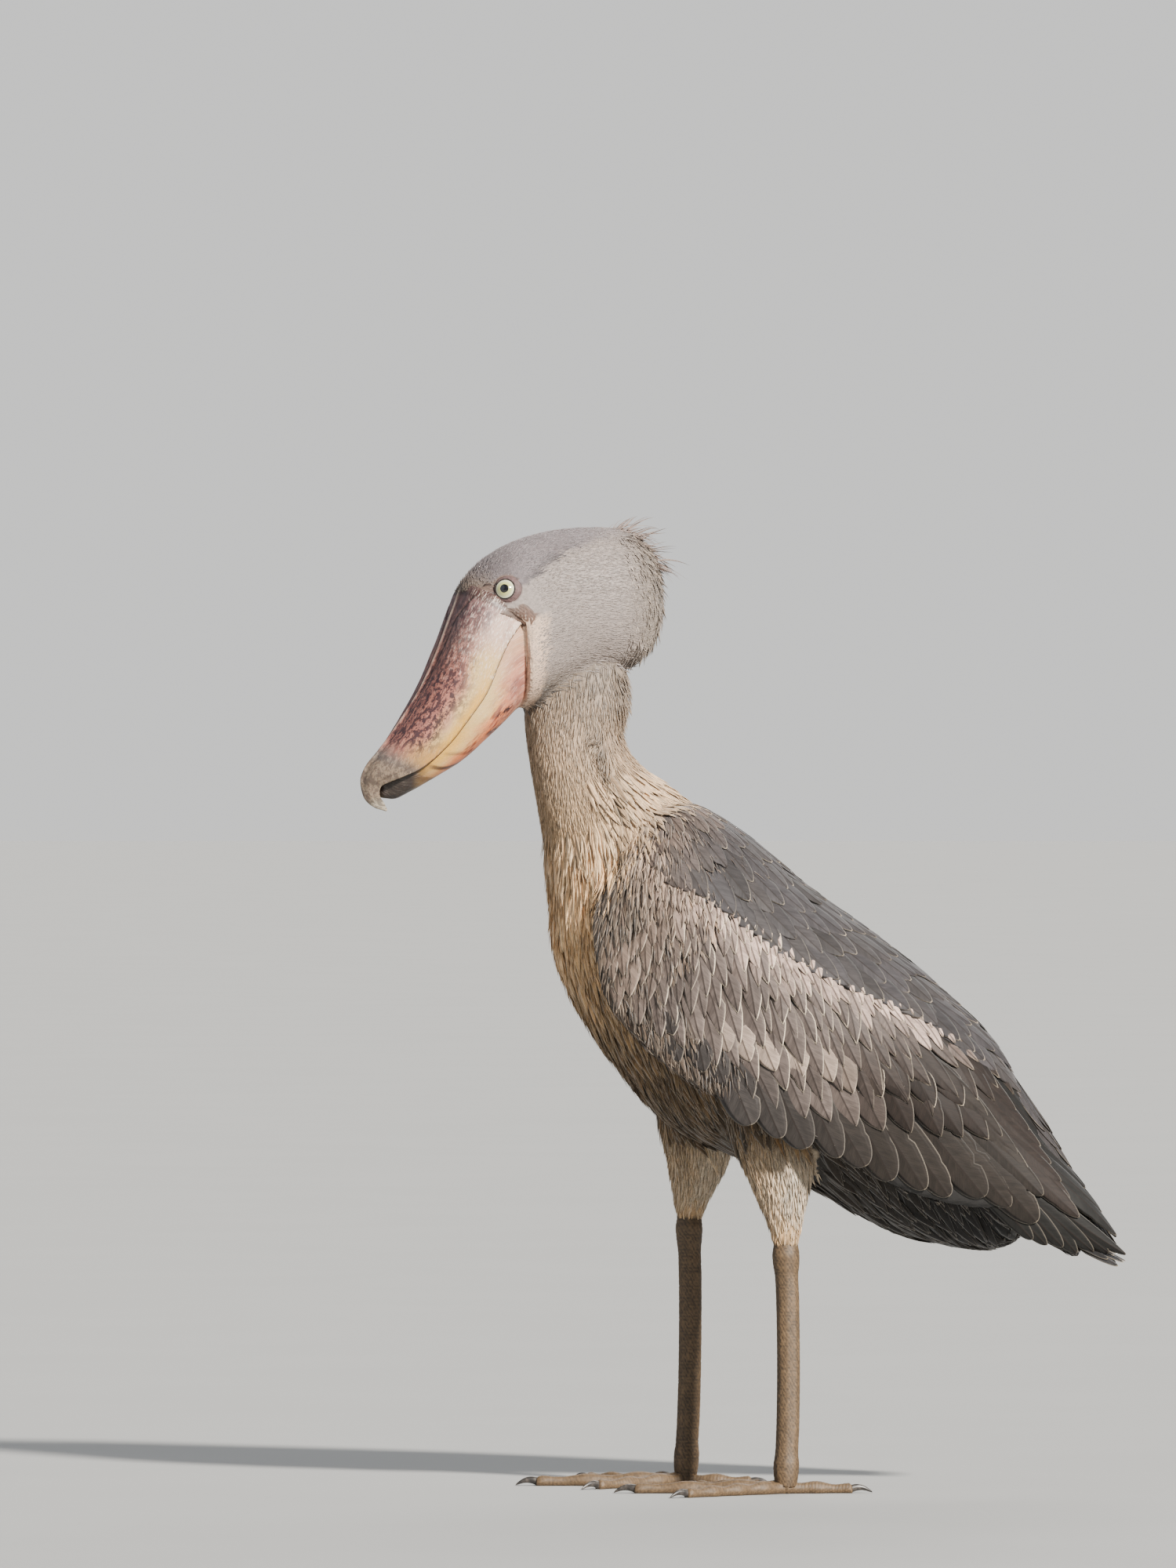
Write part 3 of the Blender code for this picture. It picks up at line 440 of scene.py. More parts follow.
def tailRings():
    length = math.dist(tailValues["root"], tailValues["tip"])
    c, s = superOval(2 * np.pi * np.arange(40) / 40, 3.0)
    rings = []
    for t in np.linspace(-0.15, tailValues["coreShare"], 14):
        halfWidth = np.interp(t, (0, 1), tailValues["halfWidth"]) - 2
        halfThick = np.interp(t, (0, 1), tailValues["thickness"]) / 2 - 1.5
        top = tailValues["thickness"][1] / 2
        rings.append(tailPlace(np.full(40, length * t), halfWidth * c, halfThick * s - top))
    return np.array(rings)


def billSocket():  # what the head leaves free in front of the feather edge
    reach, half, back = 200, 120, headValues
    culmen, corner, chin = back["culmenRoot"], back["mouthCorner"], back["chinRoot"]
    profile = [(culmen[0] + 40, culmen[1] + reach), culmen, corner, chin, (chin[0] + 10, chin[1] - reach),
               (chin[0] - reach, chin[1] - reach), (chin[0] - reach, culmen[1] + reach)]
    return closedLoft("socket", turned([[(x, side, z) for x, z in profile] for side in (-half, half)]))


sheets = {side: WingSheet(side) for side in sides}


def makeHide():  # one smooth closed surface under the whole coat
    head = closedLoft("head", headRings())
    socket = billSocket()
    applyModifier(head, "BOOLEAN", object=socket, operation="DIFFERENCE", solver="EXACT")
    bpy.data.objects.remove(socket)
    parts = [head, closedLoft("trunk", bodyRings()), closedLoft("rump", tailRings())]
    parts += [closedLoft("thigh", thighRings(side)) for side in sides]
    parts += [closedLoft("core", sheets[side].coreRings(30)) for side in sides]
    hide = joinAll(parts, "skin")
    applyModifier(hide, "REMESH", mode="VOXEL", voxel_size=0.0036)
    applyModifier(hide, "SMOOTH", factor=0.5, iterations=5)
    applyModifier(hide, "DECIMATE", ratio=0.42)
    applyModifier(hide, "TRIANGULATE")
    return hide


hide = makeHide()
report(f"hide of {len(hide.data.polygons)} faces")


# Colours as seen in daylight, red, green and blue from 0 to 255.
plumage = {
    "cheek": (198, 184, 176), "cap": (168, 157, 158), "capDark": (88, 78, 78), "lores": (160, 142, 128),
    "nape": (176, 162, 149), "throat": (156, 142, 129), "neck": (226, 198, 170), "foreNeck": (236, 204, 168),
    "breast": (248, 208, 162), "lowBreast": (130, 106, 78), "belly": (54, 47, 39), "vent": (28, 26, 25),
    "mantle": (112, 97, 88), "back": (70, 66, 66), "shoulder": (188, 164, 146), "foreCovert": (138, 120, 108),
    "foreLow": (98, 85, 74), "covert": (101, 91, 86), "greater": (168, 151, 139),
    "slate": (58, 54, 52), "band": (204, 180, 168), "scapular": (60, 57, 58), "secondary": (38, 33, 29), "tertial": (36, 29, 25), "primary": (24, 23, 21),
    "tail": (28, 27, 27), "thigh": (230, 204, 172), "thighRear": (240, 222, 198), "fringe": (240, 224, 202),
    "shaft": (34, 27, 23), "leg": (108, 88, 66), "crest": (178, 156, 146),
}


daylight = {"share": 0.72, "saturation": 1.2}  # what the seen colours lose and gain as bare surface colours


def linear(name):  # a named colour as the shader wants it
    c = np.array(plumage[name], float) / 255
    c = np.where(c <= 0.04045, c / 12.92, ((c + 0.055) / 1.055) ** 2.4)
    grey = c.mean()
    return np.clip(grey + (c - grey) * daylight["saturation"], 0.002, 1) * daylight["share"]


def graded(value, stops):  # colours along a scale, from (value, colour name) stops
    places = [s[0] for s in stops]
    table = np.array([linear(s[1]) for s in stops])
    return np.stack([np.interp(value, places, table[:, k]) for k in range(3)], axis=-1)


def blended(first, second, share):  # one colour or many, laid over by a share for each place
    return first + (second - first) * share[:, None]


def ripple(points, scale, seed):  # smooth noise over space, from -1 to 1
    draw = np.random.default_rng(seed)
    flat = points.reshape(-1, 3)
    total = np.zeros(len(flat))
    for _ in range(6):
        way = unit(draw.normal(size=3)) * 2 * np.pi / (scale * draw.uniform(0.6, 1.6))
        total += np.sin(flat @ way + draw.uniform(0, 6.28))
    return (total / 3.0).reshape(points.shape[:-1])


def gatherGuides():  # the lie of the coat and the place on the body, along the surfaces the hide was made from
    found = []

    def add(rings, zone, first, second, tile):
        flow = unit(np.gradient(rings, axis=0))
        shape = rings.shape[:2]
        a, b = np.broadcast_to(first, shape), np.broadcast_to(second, shape)
        u = np.broadcast_to(np.linspace(0, 1, shape[0])[:, None], shape)
        v = np.broadcast_to(np.linspace(0, 1, shape[1])[None], shape)
        bake = np.stack([tile[0] + tile[2] * u, tile[1] + tile[3] * v], axis=-1)
        found.append((rings.reshape(-1, 3), flow.reshape(-1, 3), np.full(a.size, zone), a.ravel(),
                      b.ravel(), bake.reshape(-1, 2)))

    rings = bodyRings()
    turn = 2 * np.pi * np.arange(rings.shape[1]) / rings.shape[1]
    stations = np.arange(len(rings)) / bodyValues["steps"]
    add(rings, 0, stations[:, None], np.cos(turn)[None], (0.01, 0.01, 0.44, 0.44))
    rings = headRings()
    own = turnedBack(rings)
    add(rings, 1, own[..., 0], own[..., 2], (0.51, 0.01, 0.44, 0.44))
    for index, side in enumerate(sides):
        rings = thighRings(side)
        turn = 2 * np.pi * np.arange(rings.shape[1]) / rings.shape[1]
        share = np.linspace(0, 1, len(rings))
        add(rings, 2 + index, share[:, None], np.cos(turn)[None], (0.01 + 0.5 * index, 0.51, 0.2, 0.2))
    for index, side in enumerate(sides):
        rings = sheets[side].coreRings(30)[:, :30]
        along = np.linspace(wingValues["sections"][0][0], wingValues["coreEnd"], len(rings))
        share = np.linspace(0, 1, 30)
        add(rings, 4 + index, along[:, None], share[None], (0.26 + 0.5 * index, 0.51, 0.2, 0.4))
    rings = tailRings()
    add(rings, 6, np.linspace(0, 1, len(rings))[:, None], np.sin(2 * np.pi * np.arange(40) / 40)[None],
        (0.01, 0.76, 0.2, 0.2))
    return [np.concatenate(part) for part in zip(*found)]


def capShare(x, z):  # 1 on the dark cap, 0 on the cheek, in the head's own frame
    edge = np.interp(x, [-130, -112, -98, -83, -72, -61, -51, -34, 10],
                     [893, 902, 905, 898, 903, 911, 922, 933, 948])
    soft = np.interp(x, [-83, -45, -10, 40], [1.0, 1.3, 4, 11])
    return ease((z - edge) / soft, -1, 1) * (1 - 0.75 * ease(x, -20, 55))


def foldShare(places):  # 1 along the ruffled fold that runs down each side of the neck
    line = np.interp(places[:, 2], [630, 680, 725, 752, 775], [-124, -133, -141, -146, -151])
    along = ease(places[:, 2], 628, 655) * ease(-places[:, 2], -772, -745)
    return np.exp(-(((places[:, 0] - line) / 7.0) ** 2)) * along * ease(np.abs(places[:, 1]), 15, 35)


def hideColours(places, zone, first, second):
    colour = np.zeros((len(places), 3))
    front = graded(first, [(0, "throat"), (1.6, "neck"), (3.6, "foreNeck"), (5.2, "breast"),
                           (7.4, "lowBreast"), (9.5, "belly"), (12, "vent"), (15, "vent")])
    back = graded(first, [(0, "nape"), (2, "neck"), (3.4, "foreNeck"), (4.6, "mantle"), (7, "back"), (15, "back")])
    side = blended(front, back, ease(-second, -0.25, 0.55))
    # painted shade along the ruffled fold down each side of the neck: the colour there, which feathers rooted on it
    # take too, is darkened to as little as a quarter
    shade = 1 - 0.75 * foldShare(places) * (0.8 + 0.2 * ripple(places, 12, 77))
    colour[zone == 0] = (side * shade[:, None])[zone == 0]
    on = zone == 1
    x, z = first[on], second[on]
    head = blended(linear("cheek"), linear("nape"), ease(x, 10, 60))
    head = blended(head, linear("throat"), ease(-z, -830, -795) * 0.8)
    # painted shadow: the throat below the front of the jaw, and the down rooted there, is darkened to 0.55 where the
    # cheek's shadow falls
    head = head * (1 - 0.45 * ease(-z, -806, -790) * ease(-x, 0, 25))[:, None]
    head = blended(head, linear("cap"), capShare(x, z))
    smudge = np.exp(-(((x + 62 - (z - 909) * 1.1) / 11.0) ** 2)) * ease(z, 896, 903) * ease(-z, -948, -924)
    smudge = np.maximum(smudge, 0.42 * ease(-x, 70, 96))
    head = blended(head, linear("capDark"), smudge * capShare(x, z) * 0.9)
    lores = ease(-x, 98, 118) * ease(z, 868, 884) * ease(-z, -916, -898)
    head = blended(head, linear("lores"), lores * 0.85)
    colour[on] = head
    for index in (2, 3):
        on = zone == index
        thigh = graded(first[on], [(0, "lowBreast"), (0.35, "thigh"), (0.7, "thigh"), (0.88, "breast"), (1, "leg")])
        patch = ease(second[on], -0.3, 0.35) * ease(first[on], 0.1, 0.3) * ease(-first[on], -0.8, -0.6)
        colour[on] = blended(thigh, linear("thighRear"), patch * 0.85)
    for index in (4, 5):
        on = zone == index
        front = graded(second[on], [(0, "back"), (0.12, "back"), (0.3, "mantle"), (0.4, "mantle"),
                                    (0.55, "shoulder"), (0.75, "foreLow"), (1, "foreLow")])
        deep = graded(second[on], [(0, "scapular"), (0.5, "covert"), (1, "secondary")])
        # painted shade: the skin under the wing's feathers, below the back's edge, is darkened to 0.35
        deep = deep * (1 - 0.65 * ease(second[on], 0.12, 0.2))[:, None]
        colour[on] = blended(deep, front, ease(-first[on] + 110 * ease(second[on], 0.75, 0.9), -130, -80))
    on = zone == 6
    colour[on] = blended(linear("vent"), linear("scapular"), ease(second[on], -0.1, 0.5))
    return colour


def surveyHide():  # what each vertex of the hide knows: place, normal, lie of the coat, zone, colour
    places, normals = meshArrays(hide)
    guide, flow, zone, first, second, bake = gatherGuides()
    near = nearestOf(guide, places)
    way = flow[near]
    for index, side in enumerate(sides):  # on the wing the coat runs down and back
        on = zone[near] == 4 + index
        lean = np.interp(first[near[on]], [0, 150, 400], [48, 36, 20]) * ease(second[near[on]], 0.04, 0.3)
        lean = np.radians(lean)[:, None]
        axis, down = wingValues["axis"], wingValues["across"]
        way[on] = np.cos(lean) * [axis[0], 0, axis[1]] + np.sin(lean) * [down[0], 0, down[1]]
    hang = np.where(zone[near] == 0, ease(first[near], 3.5, 6) * ease(second[near], -0.5, 0.3) * 0.55, 0.0)
    way = way + np.array([0, 0, -1]) * hang[:, None]
    way = unit(way - normals * np.sum(way * normals, axis=1, keepdims=True))
    return {
        "places": places, "normals": normals, "flow": way, "zone": zone[near], "first": first[near],
        "second": second[near], "bake": bake[near],
        "colour": hideColours(places, zone[near], first[near], second[near]),
    }


survey = surveyHide()
hideFaces = np.array([tuple(face.vertices) for face in hide.data.polygons])
hideTree = BVHTree.FromPolygons([tuple(p) for p in survey["places"]], hideFaces.tolist())
report("hide surveyed")


def onHide(points):  # nearest places on the hide, smooth normals there, and the nearest corner's number
    hits = [hideTree.find_nearest(p) for p in points]
    places = np.array([hit[0] for hit in hits])
    corners = hideFaces[[hit[2] for hit in hits]]
    gaps = np.linalg.norm(survey["places"][corners] - places[:, None], axis=-1)
    weights = 1 / (gaps + 0.2)
    normals = unit(np.sum(survey["normals"][corners] * weights[..., None], axis=1))
    return places, normals, corners[np.arange(len(corners)), gaps.argmin(1)]


def scattered(wanted, spacing, seed):  # roots over the hide where wanted is true, one to each cell of space
    draw = np.random.default_rng(seed)
    corners = survey["places"][hideFaces]
    area = np.linalg.norm(np.cross(corners[:, 1] - corners[:, 0], corners[:, 2] - corners[:, 0]), axis=1) / 2
    area = area * wanted[hideFaces].mean(1)
    count = int(area.sum() / spacing**2 * 5)
    face = draw.choice(len(area), count, p=area / area.sum())
    a, b = np.sqrt(draw.uniform(size=count)), draw.uniform(size=count)
    tri = corners[face]
    points = tri[:, 0] * (1 - a)[:, None] + tri[:, 1] * (a * (1 - b))[:, None] + tri[:, 2] * (a * b)[:, None]
    cells = np.floor(points / spacing + draw.uniform(size=3)).astype(int)
    _, first = np.unique(cells @ np.array([1, 4001, 16008001]), return_index=True)
    return points[np.sort(first)]


# How a vane is drawn: places along it, bunched towards the tip, and places across its upper and lower face.
def stationsAlong(rows):
    return np.sin(np.pi / 2 * np.linspace(0, 1, rows) ** 1.15)


def outline(t, base, widest, bulge, point):  # half width along the vane as a share of the widest
    swell = base + (1 - base) * ease(t, 0, widest)
    fall = np.clip((t - widest) / (1 - widest), 0, 1)
    return np.maximum(swell * (1 - fall**bulge) ** (1 / point), 0.05)


sections = {
    "tuft": ([-1, 0, 1], []),
    "plume": ([-1, -0.5, 0, 0.5, 1], [0.45, -0.45]),
    "vane": ([-1, -0.7, -0.35, -0.07, 0, 0.07, 0.35, 0.7, 1], [0.6, 0, -0.6]),
}


def crossSection(kind, half, camber, thick, ridge):  # across and up for each corner of a ring, half has any shape
    top, under = (np.array(part, float) for part in sections[kind])
    across = np.concatenate([top, under])
    bow = 1 - across**2
    lift = camber * bow
    shell = np.where(np.arange(len(across)) < len(top), 0.5 * thick * bow, -0.5 * thick * bow)
    if kind == "tuft":
        shell = thick * bow
    spine = ridge * (np.abs(across) < 0.01) * (np.arange(len(across)) < len(top))
    rise = half[..., None] * lift + np.minimum(1, half[..., None] / 1.5) * (shell + spine)
    return across, half[..., None] * across, rise


def vaneMesh(name, points, half, across, down, facts, colour, patches):
    # points (n, rows, corners, 3); facts holds fringe and luck; patches the place and size of each bake patch
    n, rows, k = points.shape[:3]
    each = rows * k
    i, j = np.meshgrid(np.arange(rows - 1), np.arange(k), indexing="ij")
    a, b = i * k + j, i * k + (j + 1) % k
    walls = np.stack([a, a + k, b + k, b], axis=-1).reshape(-1, 4)
    root, tip = np.arange(k)[None], (np.arange(k) + (rows - 1) * k)[::-1][None]
    shift = (np.arange(n) * each)[:, None, None]
    ends = np.concatenate([root, tip])
    faces = [(walls + shift).reshape(-1, 4), (ends + shift).reshape(-1, k)]
    made = newMesh(name, points.reshape(-1, 3), faces)
    rim = np.minimum((1 - np.abs(across)) * half[..., None], (down[:, -1:] - down)[..., None] * 0.9 + 0.02)
    flat = np.stack([half[..., None] * across + 0 * rim, down[..., None] + 0 * rim], axis=-1).reshape(-1, 2)
    spread = np.stack([across * 0.5 + 0.5 + 0 * rim, (down / down[:, -1:])[..., None] + 0 * rim], axis=-1)
    bake = (patches[0][:, None, None] + spread * patches[1][:, None, None]).reshape(-1, 2)
    uvLayers(made, {"OFBake": bake, "vane": flat})
    fringe = np.reshape(facts[0], (n, -1, 1)) + 0 * rim
    luck = facts[1][:, None, None] + 0 * rim
    pointLayer(made, "vaneFacts", "FLOAT_VECTOR", np.stack([rim, fringe, luck], axis=-1))
    paintPoints(made, np.broadcast_to(colour, (n, rows, k, 3)).reshape(-1, 3))
    report(f"{name}: {n} feathers, {len(made.data.loops) - 2 * len(made.data.polygons)} triangles")
    return made


def growOnHide(name, values, wanted, seed, tune=None):
    # tufts or plumes rooted on the hide, each following the lie of the coat from its root to its tip
    draw = np.random.default_rng(seed)
    roots = scattered(wanted, values["spacing"], seed)
    n, rows = len(roots), values["rows"]
    place, normal, near = onHide(roots)
    length = draw.uniform(*values["length"], n)
    width = draw.uniform(*values["width"], n) / 2
    lift = values["lift"] * draw.uniform(0.6, 1.4, n)
    stray = np.radians(values["stray"]) * draw.normal(size=n)
    stray += np.radians(values["wander"]) * ripple(roots, values.get("wanderScale", 30), seed + 1)
    if tune is not None:
        length, width, lift, stray = tune(near, roots, length, width, lift, stray)
    side = np.cross(normal, survey["flow"][near])
    way = survey["flow"][near] * np.cos(stray)[:, None] + side * np.sin(stray)[:, None]
    t = stationsAlong(rows)
    centres, normals, ways = [place], [normal], [way]
    for k in range(1, rows):
        step = (length * (t[k] - t[k - 1]))[:, None]
        way = unit(way * (1 - values["follow"]) + survey["flow"][near] * values["follow"] * 0.3
                   + np.array([0, 0, -1]) * values["sag"] * (t[k] - t[k - 1]) + way * 0.2)
        place, normal, near2 = onHide(centres[-1] + way * step)
        way = unit(way - normal * np.sum(way * normal, axis=1, keepdims=True))
        centres.append(place)
        normals.append(normal)
        ways.append(way)
        near = near2
    centres, normals, ways = (np.stack(part, axis=1) for part in (centres, normals, ways))
    roll = np.radians(values["roll"]) * draw.normal(size=(n, 1, 1))
    aside = np.cross(normals, ways)
    up = normals * np.cos(roll) + aside * np.sin(roll)
    aside = np.cross(up, ways)
    half = width[:, None] * outline(t, *values["outline"])[None]
    across, out, rise = crossSection(values["section"], half, values["camber"], values["thick"],
                                     values.get("ridge", 0.0))
    height = -values["sink"] + (lift[:, None] + values["sink"]) * t[None] ** values["rise"]
    points = (centres[:, :, None] + normals[:, :, None] * height[..., None, None]
              + aside[:, :, None] * out[..., None] + up[:, :, None] * rise[..., None])
    start = onHide(roots)[2]
    tone = 1 + values["toneSpread"] * draw.normal(size=n) + values["toneWave"] * ripple(roots, 38, seed + 2)
    warm = values["warmSpread"] * draw.normal(size=n)
    base = survey["colour"][start] * np.clip(tone, 0.35, 1.6)[:, None]
    base = base * np.stack([1 + warm, np.ones(n), 1 - warm], axis=-1)
    ends = values["tones"][0] + (values["tones"][1] - values["tones"][0]) * t
    colour = base[:, None, None] * ends[None, :, None, None]
    patches = (survey["bake"][start], np.full((n, 2), 0.003))
    facts = (np.full(n, values["fringe"]) * draw.uniform(0.4, 1, n), draw.uniform(size=n))
    return vaneMesh(name, points, half, across, length[:, None] * t[None], facts, colour, patches)


def growOnSheet(name, place, feathers, values, seed):
    # broad vanes on a wing or the tail; feathers holds tip (along, around), degrees, length, width, base height,
    # fringe and colour for each
    draw = np.random.default_rng(seed)
    tip, degrees = feathers["tip"], feathers["degrees"]
    n, rows = len(tip), values["rows"]
    t = stationsAlong(rows)
    angle = np.radians(degrees + values["stray"] * draw.normal(size=n))
    way = np.stack([np.cos(angle), np.sin(angle)], axis=-1)
    aside = np.stack([-np.sin(angle), np.cos(angle)], axis=-1)
    length, width = feathers["length"][:, None], feathers["width"] / 2
    shape = [part * draw.uniform(0.9, 1.1, (n, 1)) for part in values["outline"]]
    half = width[:, None] * outline(t[None], *shape)
    across, out, rise = crossSection(values["section"], half, values["camber"], values["thick"], values["ridge"])
    out = out + 0 * rise
    for side in (-1, 1):  # a few splits where the barbs have parted
        split = draw.uniform(0.25, 0.93, (n, values["splits"]))
        depth = draw.uniform(0, values["splitDepth"], split.shape) * (draw.uniform(size=split.shape) < 0.6)
        cut = 1 - np.max(depth[:, None] * np.exp(-((t[None, :, None] - split[:, None]) / 0.012) ** 2), axis=-1)
        out = np.where((across * side > 0.5)[None, None], out * cut[..., None], out)
    bend = values["bend"] * length * draw.normal(size=(n, 1)) * (t[None] - t[None] ** 2)
    middle = tip[:, None] - way[:, None] * (length * (1 - t[None]))[..., None] + aside[:, None] * bend[..., None]
    flat = middle[:, :, None] + aside[:, None, None] * out[..., None]
    lift = values["lift"] * draw.uniform(0.75, 1.25, (n, 1))
    height = -values["sink"] + (lift + values["sink"]) * t[None] ** values["rise"] + feathers["base"][:, None]
    curl = values["curl"] * draw.normal(size=(n, 1)) * t[None] ** 4
    height = (height + curl)[..., None] + rise - values["tilt"] * across
    points = place(flat[..., 0], flat[..., 1], height)
    tone = 1 + values["toneSpread"] * draw.normal(size=n)
    ends = values["tones"][0] + (values["tones"][1] - values["tones"][0]) * t
    colour = (feathers["colour"] * tone[:, None])[:, None, None] * ends[None, :, None, None]
    grid = int(math.ceil(math.sqrt(n)))  # each vane has its own cell of the bake square
    cell = np.stack([np.arange(n) % grid, np.arange(n) // grid], axis=-1) / grid
    patches = (cell + 0.04 / grid, np.full((n, 2), 0.92 / grid))
    towardsTip = ease(t[None] + 0.25 * draw.normal(size=(n, 1)), 0.35, 0.8)
    fringe = feathers["fringe"][:, None] * (0.2 + 0.8 * towardsTip)
    facts = (fringe, draw.uniform(size=n))
    return vaneMesh(name, points, half, across, length * t[None], facts, colour, patches)


# Feathers of the folded wing. Tips are (along, around) stops on the wing; degrees turn from the wing's own
# length towards its lower edge at the first and the last feather of a row.
wingRows = {
    "primaries": {"rows": [
        {"tips": [(540, 42), (584, 24), (622, -3)], "count": 7, "length": (120, 165), "width": 24,
         "degrees": (15, 2), "base": -1.3, "colour": "primary", "fringe": 0.15}]},
    "secondaries": {"rows": [
        {"tips": [(246, 112), (294, 100), (354, 84), (427, 62), (478, 32), (530, 22)], "count": 11,
         "length": (100, 130), "width": 38, "degrees": (33, 14), "base": -0.7,
         "colour": ("slate", "secondary", "secondary"), "fringe": 0.22}]},
    "tertials": {"rows": [
        {"tips": [(446, -112), (500, -84), (556, -54), (604, -26)], "count": 7, "length": (140, 140), "width": 29,
         "degrees": (1, 4), "base": 0.0, "colour": "primary", "fringe": 0.15},
        {"tips": [(430, -72), (470, -58), (515, -36), (562, -6)], "count": 8, "length": (150, 150), "width": 27,
         "degrees": (7, 9), "base": 0.3, "colour": "tertial", "fringe": 0.22},
        {"tips": [(428, -34), (476, -22), (520, 0)], "count": 5, "length": (130, 130), "width": 27,
         "degrees": (9, 11), "base": 0.7, "colour": "secondary", "fringe": 0.25}]},
    "greaterCoverts": {"rows": [
        {"tips": [(150, 104), (181, 98), (228, 91), (274, 79), (330, 52), (383, 22), (446, -16)], "count": 13,
         "length": (58, 74), "width": 33, "degrees": (36, 20), "base": 0.2,
         "colour": ("slate", "slate", "covert", "tertial", "tertial"), "fringe": 0.3},
        {"tips": [(128, 86), (190, 66), (260, 44), (330, 14), (404, -24)], "count": 12, "length": (48, 62),
         "width": 30, "degrees": (37, 24), "base": 0.7,
         "colour": ("slate", "greater", "greater", "tertial", "tertial"), "fringe": 0.75}]},
}
vaneValues = {
    "rows": 17, "section": "vane", "outline": (0.62, 0.5, 2.1, 1.55), "camber": 0.07, "thick": 0.5, "ridge": 0.3,
    "stray": 2.0, "splits": 2, "splitDepth": 0.3, "bend": 0.05, "lift": 2.6, "sink": 3.0, "rise": 0.9,
    "curl": 0.5, "tilt": 0.9, "toneSpread": 0.07, "tones": (0.92, 1.04),
}
wingStyles = {
    "primaries": {"outline": (0.75, 0.3, 3.4, 2.0), "rows": 20, "lift": 1.8, "camber": 0.09},
    "secondaries": {"outline": (0.7, 0.45, 2.8, 2.1), "rows": 22, "splits": 4, "splitDepth": 0.35},
    "tertials": {"outline": (0.7, 0.4, 2.6, 1.8), "rows": 22, "splits": 3, "lift": 2.2},
    "greaterCoverts": {"outline": (0.62, 0.5, 1.6, 1.2), "toneSpread": 0.09},
    "scapulars": {"outline": (0.6, 0.5, 1.9, 1.35), "rows": 14, "camber": 0.06, "tilt": 0.8, "lift": 1.8,
                  "splitDepth": 0.3, "toneSpread": 0.13, "stray": 4.0, "tones": (0.85, 1.08)},
    "coverts": {"outline": (0.6, 0.48, 1.5, 1.15), "rows": 12, "lift": 2.0, "sink": 2.6, "toneSpread": 0.13,
                "stray": 5.5, "bend": 0.09, "tones": (0.84, 1.08)},
}


def rowFeathers(rows, seed):
    draw = np.random.default_rng(seed)
    found = {key: [] for key in ("tip", "degrees", "length", "width", "base", "fringe", "colour")}
    for row in rows:
        n = row["count"]
        t = np.linspace(0, 1, n)
        found["tip"].append(evenly(np.array(row["tips"], float), n)[0] + draw.normal(size=(n, 2)) * row["width"] * 0.05)
        found["degrees"].append(row["degrees"][0] + (row["degrees"][1] - row["degrees"][0]) * t)
        found["length"].append(row["length"][0] + (row["length"][1] - row["length"][0]) * t)
        found["width"].append(row["width"] * draw.uniform(0.9, 1.1, n))
        found["base"].append(np.full(n, row["base"]) + 0.12 * draw.normal(size=n))
        found["fringe"].append(row["fringe"] * draw.uniform(0.4, 1.0, n))
        names = row["colour"] if isinstance(row["colour"], tuple) else (row["colour"], row["colour"])
        found["colour"].append(graded(t, list(zip(np.linspace(0, 1, len(names)), names))))
    return {key: np.concatenate(part) for key, part in found.items()}


def scapularLine(along):
    return np.interp(along, [40, 106, 177, 246, 306, 361, 437], [-34, -49, -48, -60, -81, -89, -88])


def greaterLine(along):
    return np.interp(along, [10, 40, 75, 110, 150, 181, 228, 274, 330, 383, 450],
                     [40, 82, 108, 112, 98, 88, 76, 62, 34, 4, -36])


def spreadTips(trial, width, slim, degrees, gaps, fixed=0):  # tips that keep a distance, longer along than across
    angle = np.radians(degrees)
    way = np.stack([np.cos(angle), np.sin(angle)], axis=-1)
    aside = np.stack([-np.sin(angle), np.cos(angle)], axis=-1)
    kept = []
    for i in range(len(trial)):
        gap = trial[kept] - trial[i]
        reach = (width[i] + width[kept]) / 2
        lengthwise = gap @ way[i] / (reach * gaps[0] * slim[i])
        crosswise = gap @ aside[i] / (reach * gaps[1])
        if i < fixed or np.min(lengthwise**2 + crosswise**2, initial=9) >= 1:
            kept.append(i)
    return np.array(kept)


def smallCoverts(sheet, seed):  # the lesser and middle coverts, small below the scapulars and at the front
    draw = np.random.default_rng(seed)
    trial = np.stack([draw.uniform(4, 440, 50000), draw.uniform(-115, 114, 50000)], axis=-1)
    top, low = scapularLine(trial[:, 0]) - 1, greaterLine(trial[:, 0])
    on = (trial[:, 1] > top) & (trial[:, 1] < low)
    trial, share = trial[on], ((trial[:, 1] - top) / (low - top))[on]
    width = (11.5 + 16.5 * share**1.1) * (0.66 + 0.34 * ease(trial[:, 0], 30, 170))
    slim = 1 + 0.9 * ease(trial[:, 0], 260, 430)
    degrees = np.interp(trial[:, 0], [20, 150, 300, 440], [54, 40, 30, 18])
    width = width * draw.uniform(0.82, 1.18, len(width))
    kept = spreadTips(trial, width, slim, degrees, (1.05, 0.64))
    along, share, width, slim, n = trial[kept, 0], share[kept], width[kept], slim[kept], len(kept)
    colour = blended(linear("band"), linear("covert"),
                     ease(share + 0.06 * draw.normal(size=n), 0.06, 0.42))
    colour = blended(colour, linear("foreCovert"), ease(-along, -120, -50) * 0.8)
    colour = blended(colour, linear("tertial"),
                     np.maximum(ease(along, 240, 380) * ease(share, 0.15, 0.5) * 0.85, ease(along, 340, 420)))
    return {
        "tip": trial[kept], "degrees": degrees[kept], "length": width * (1.6 + 0.9 * slim) + 8,
        "width": width * draw.uniform(0.92, 1.12, n), "base": 0.9 + 0.5 * (1 - share) + 0.1 * draw.normal(size=n),
        "fringe": (0.22 + 0.85 * np.exp(-(((along - 180) / 105) ** 2))) * draw.uniform(0.15, 1.1, n),
        "colour": colour,
    }


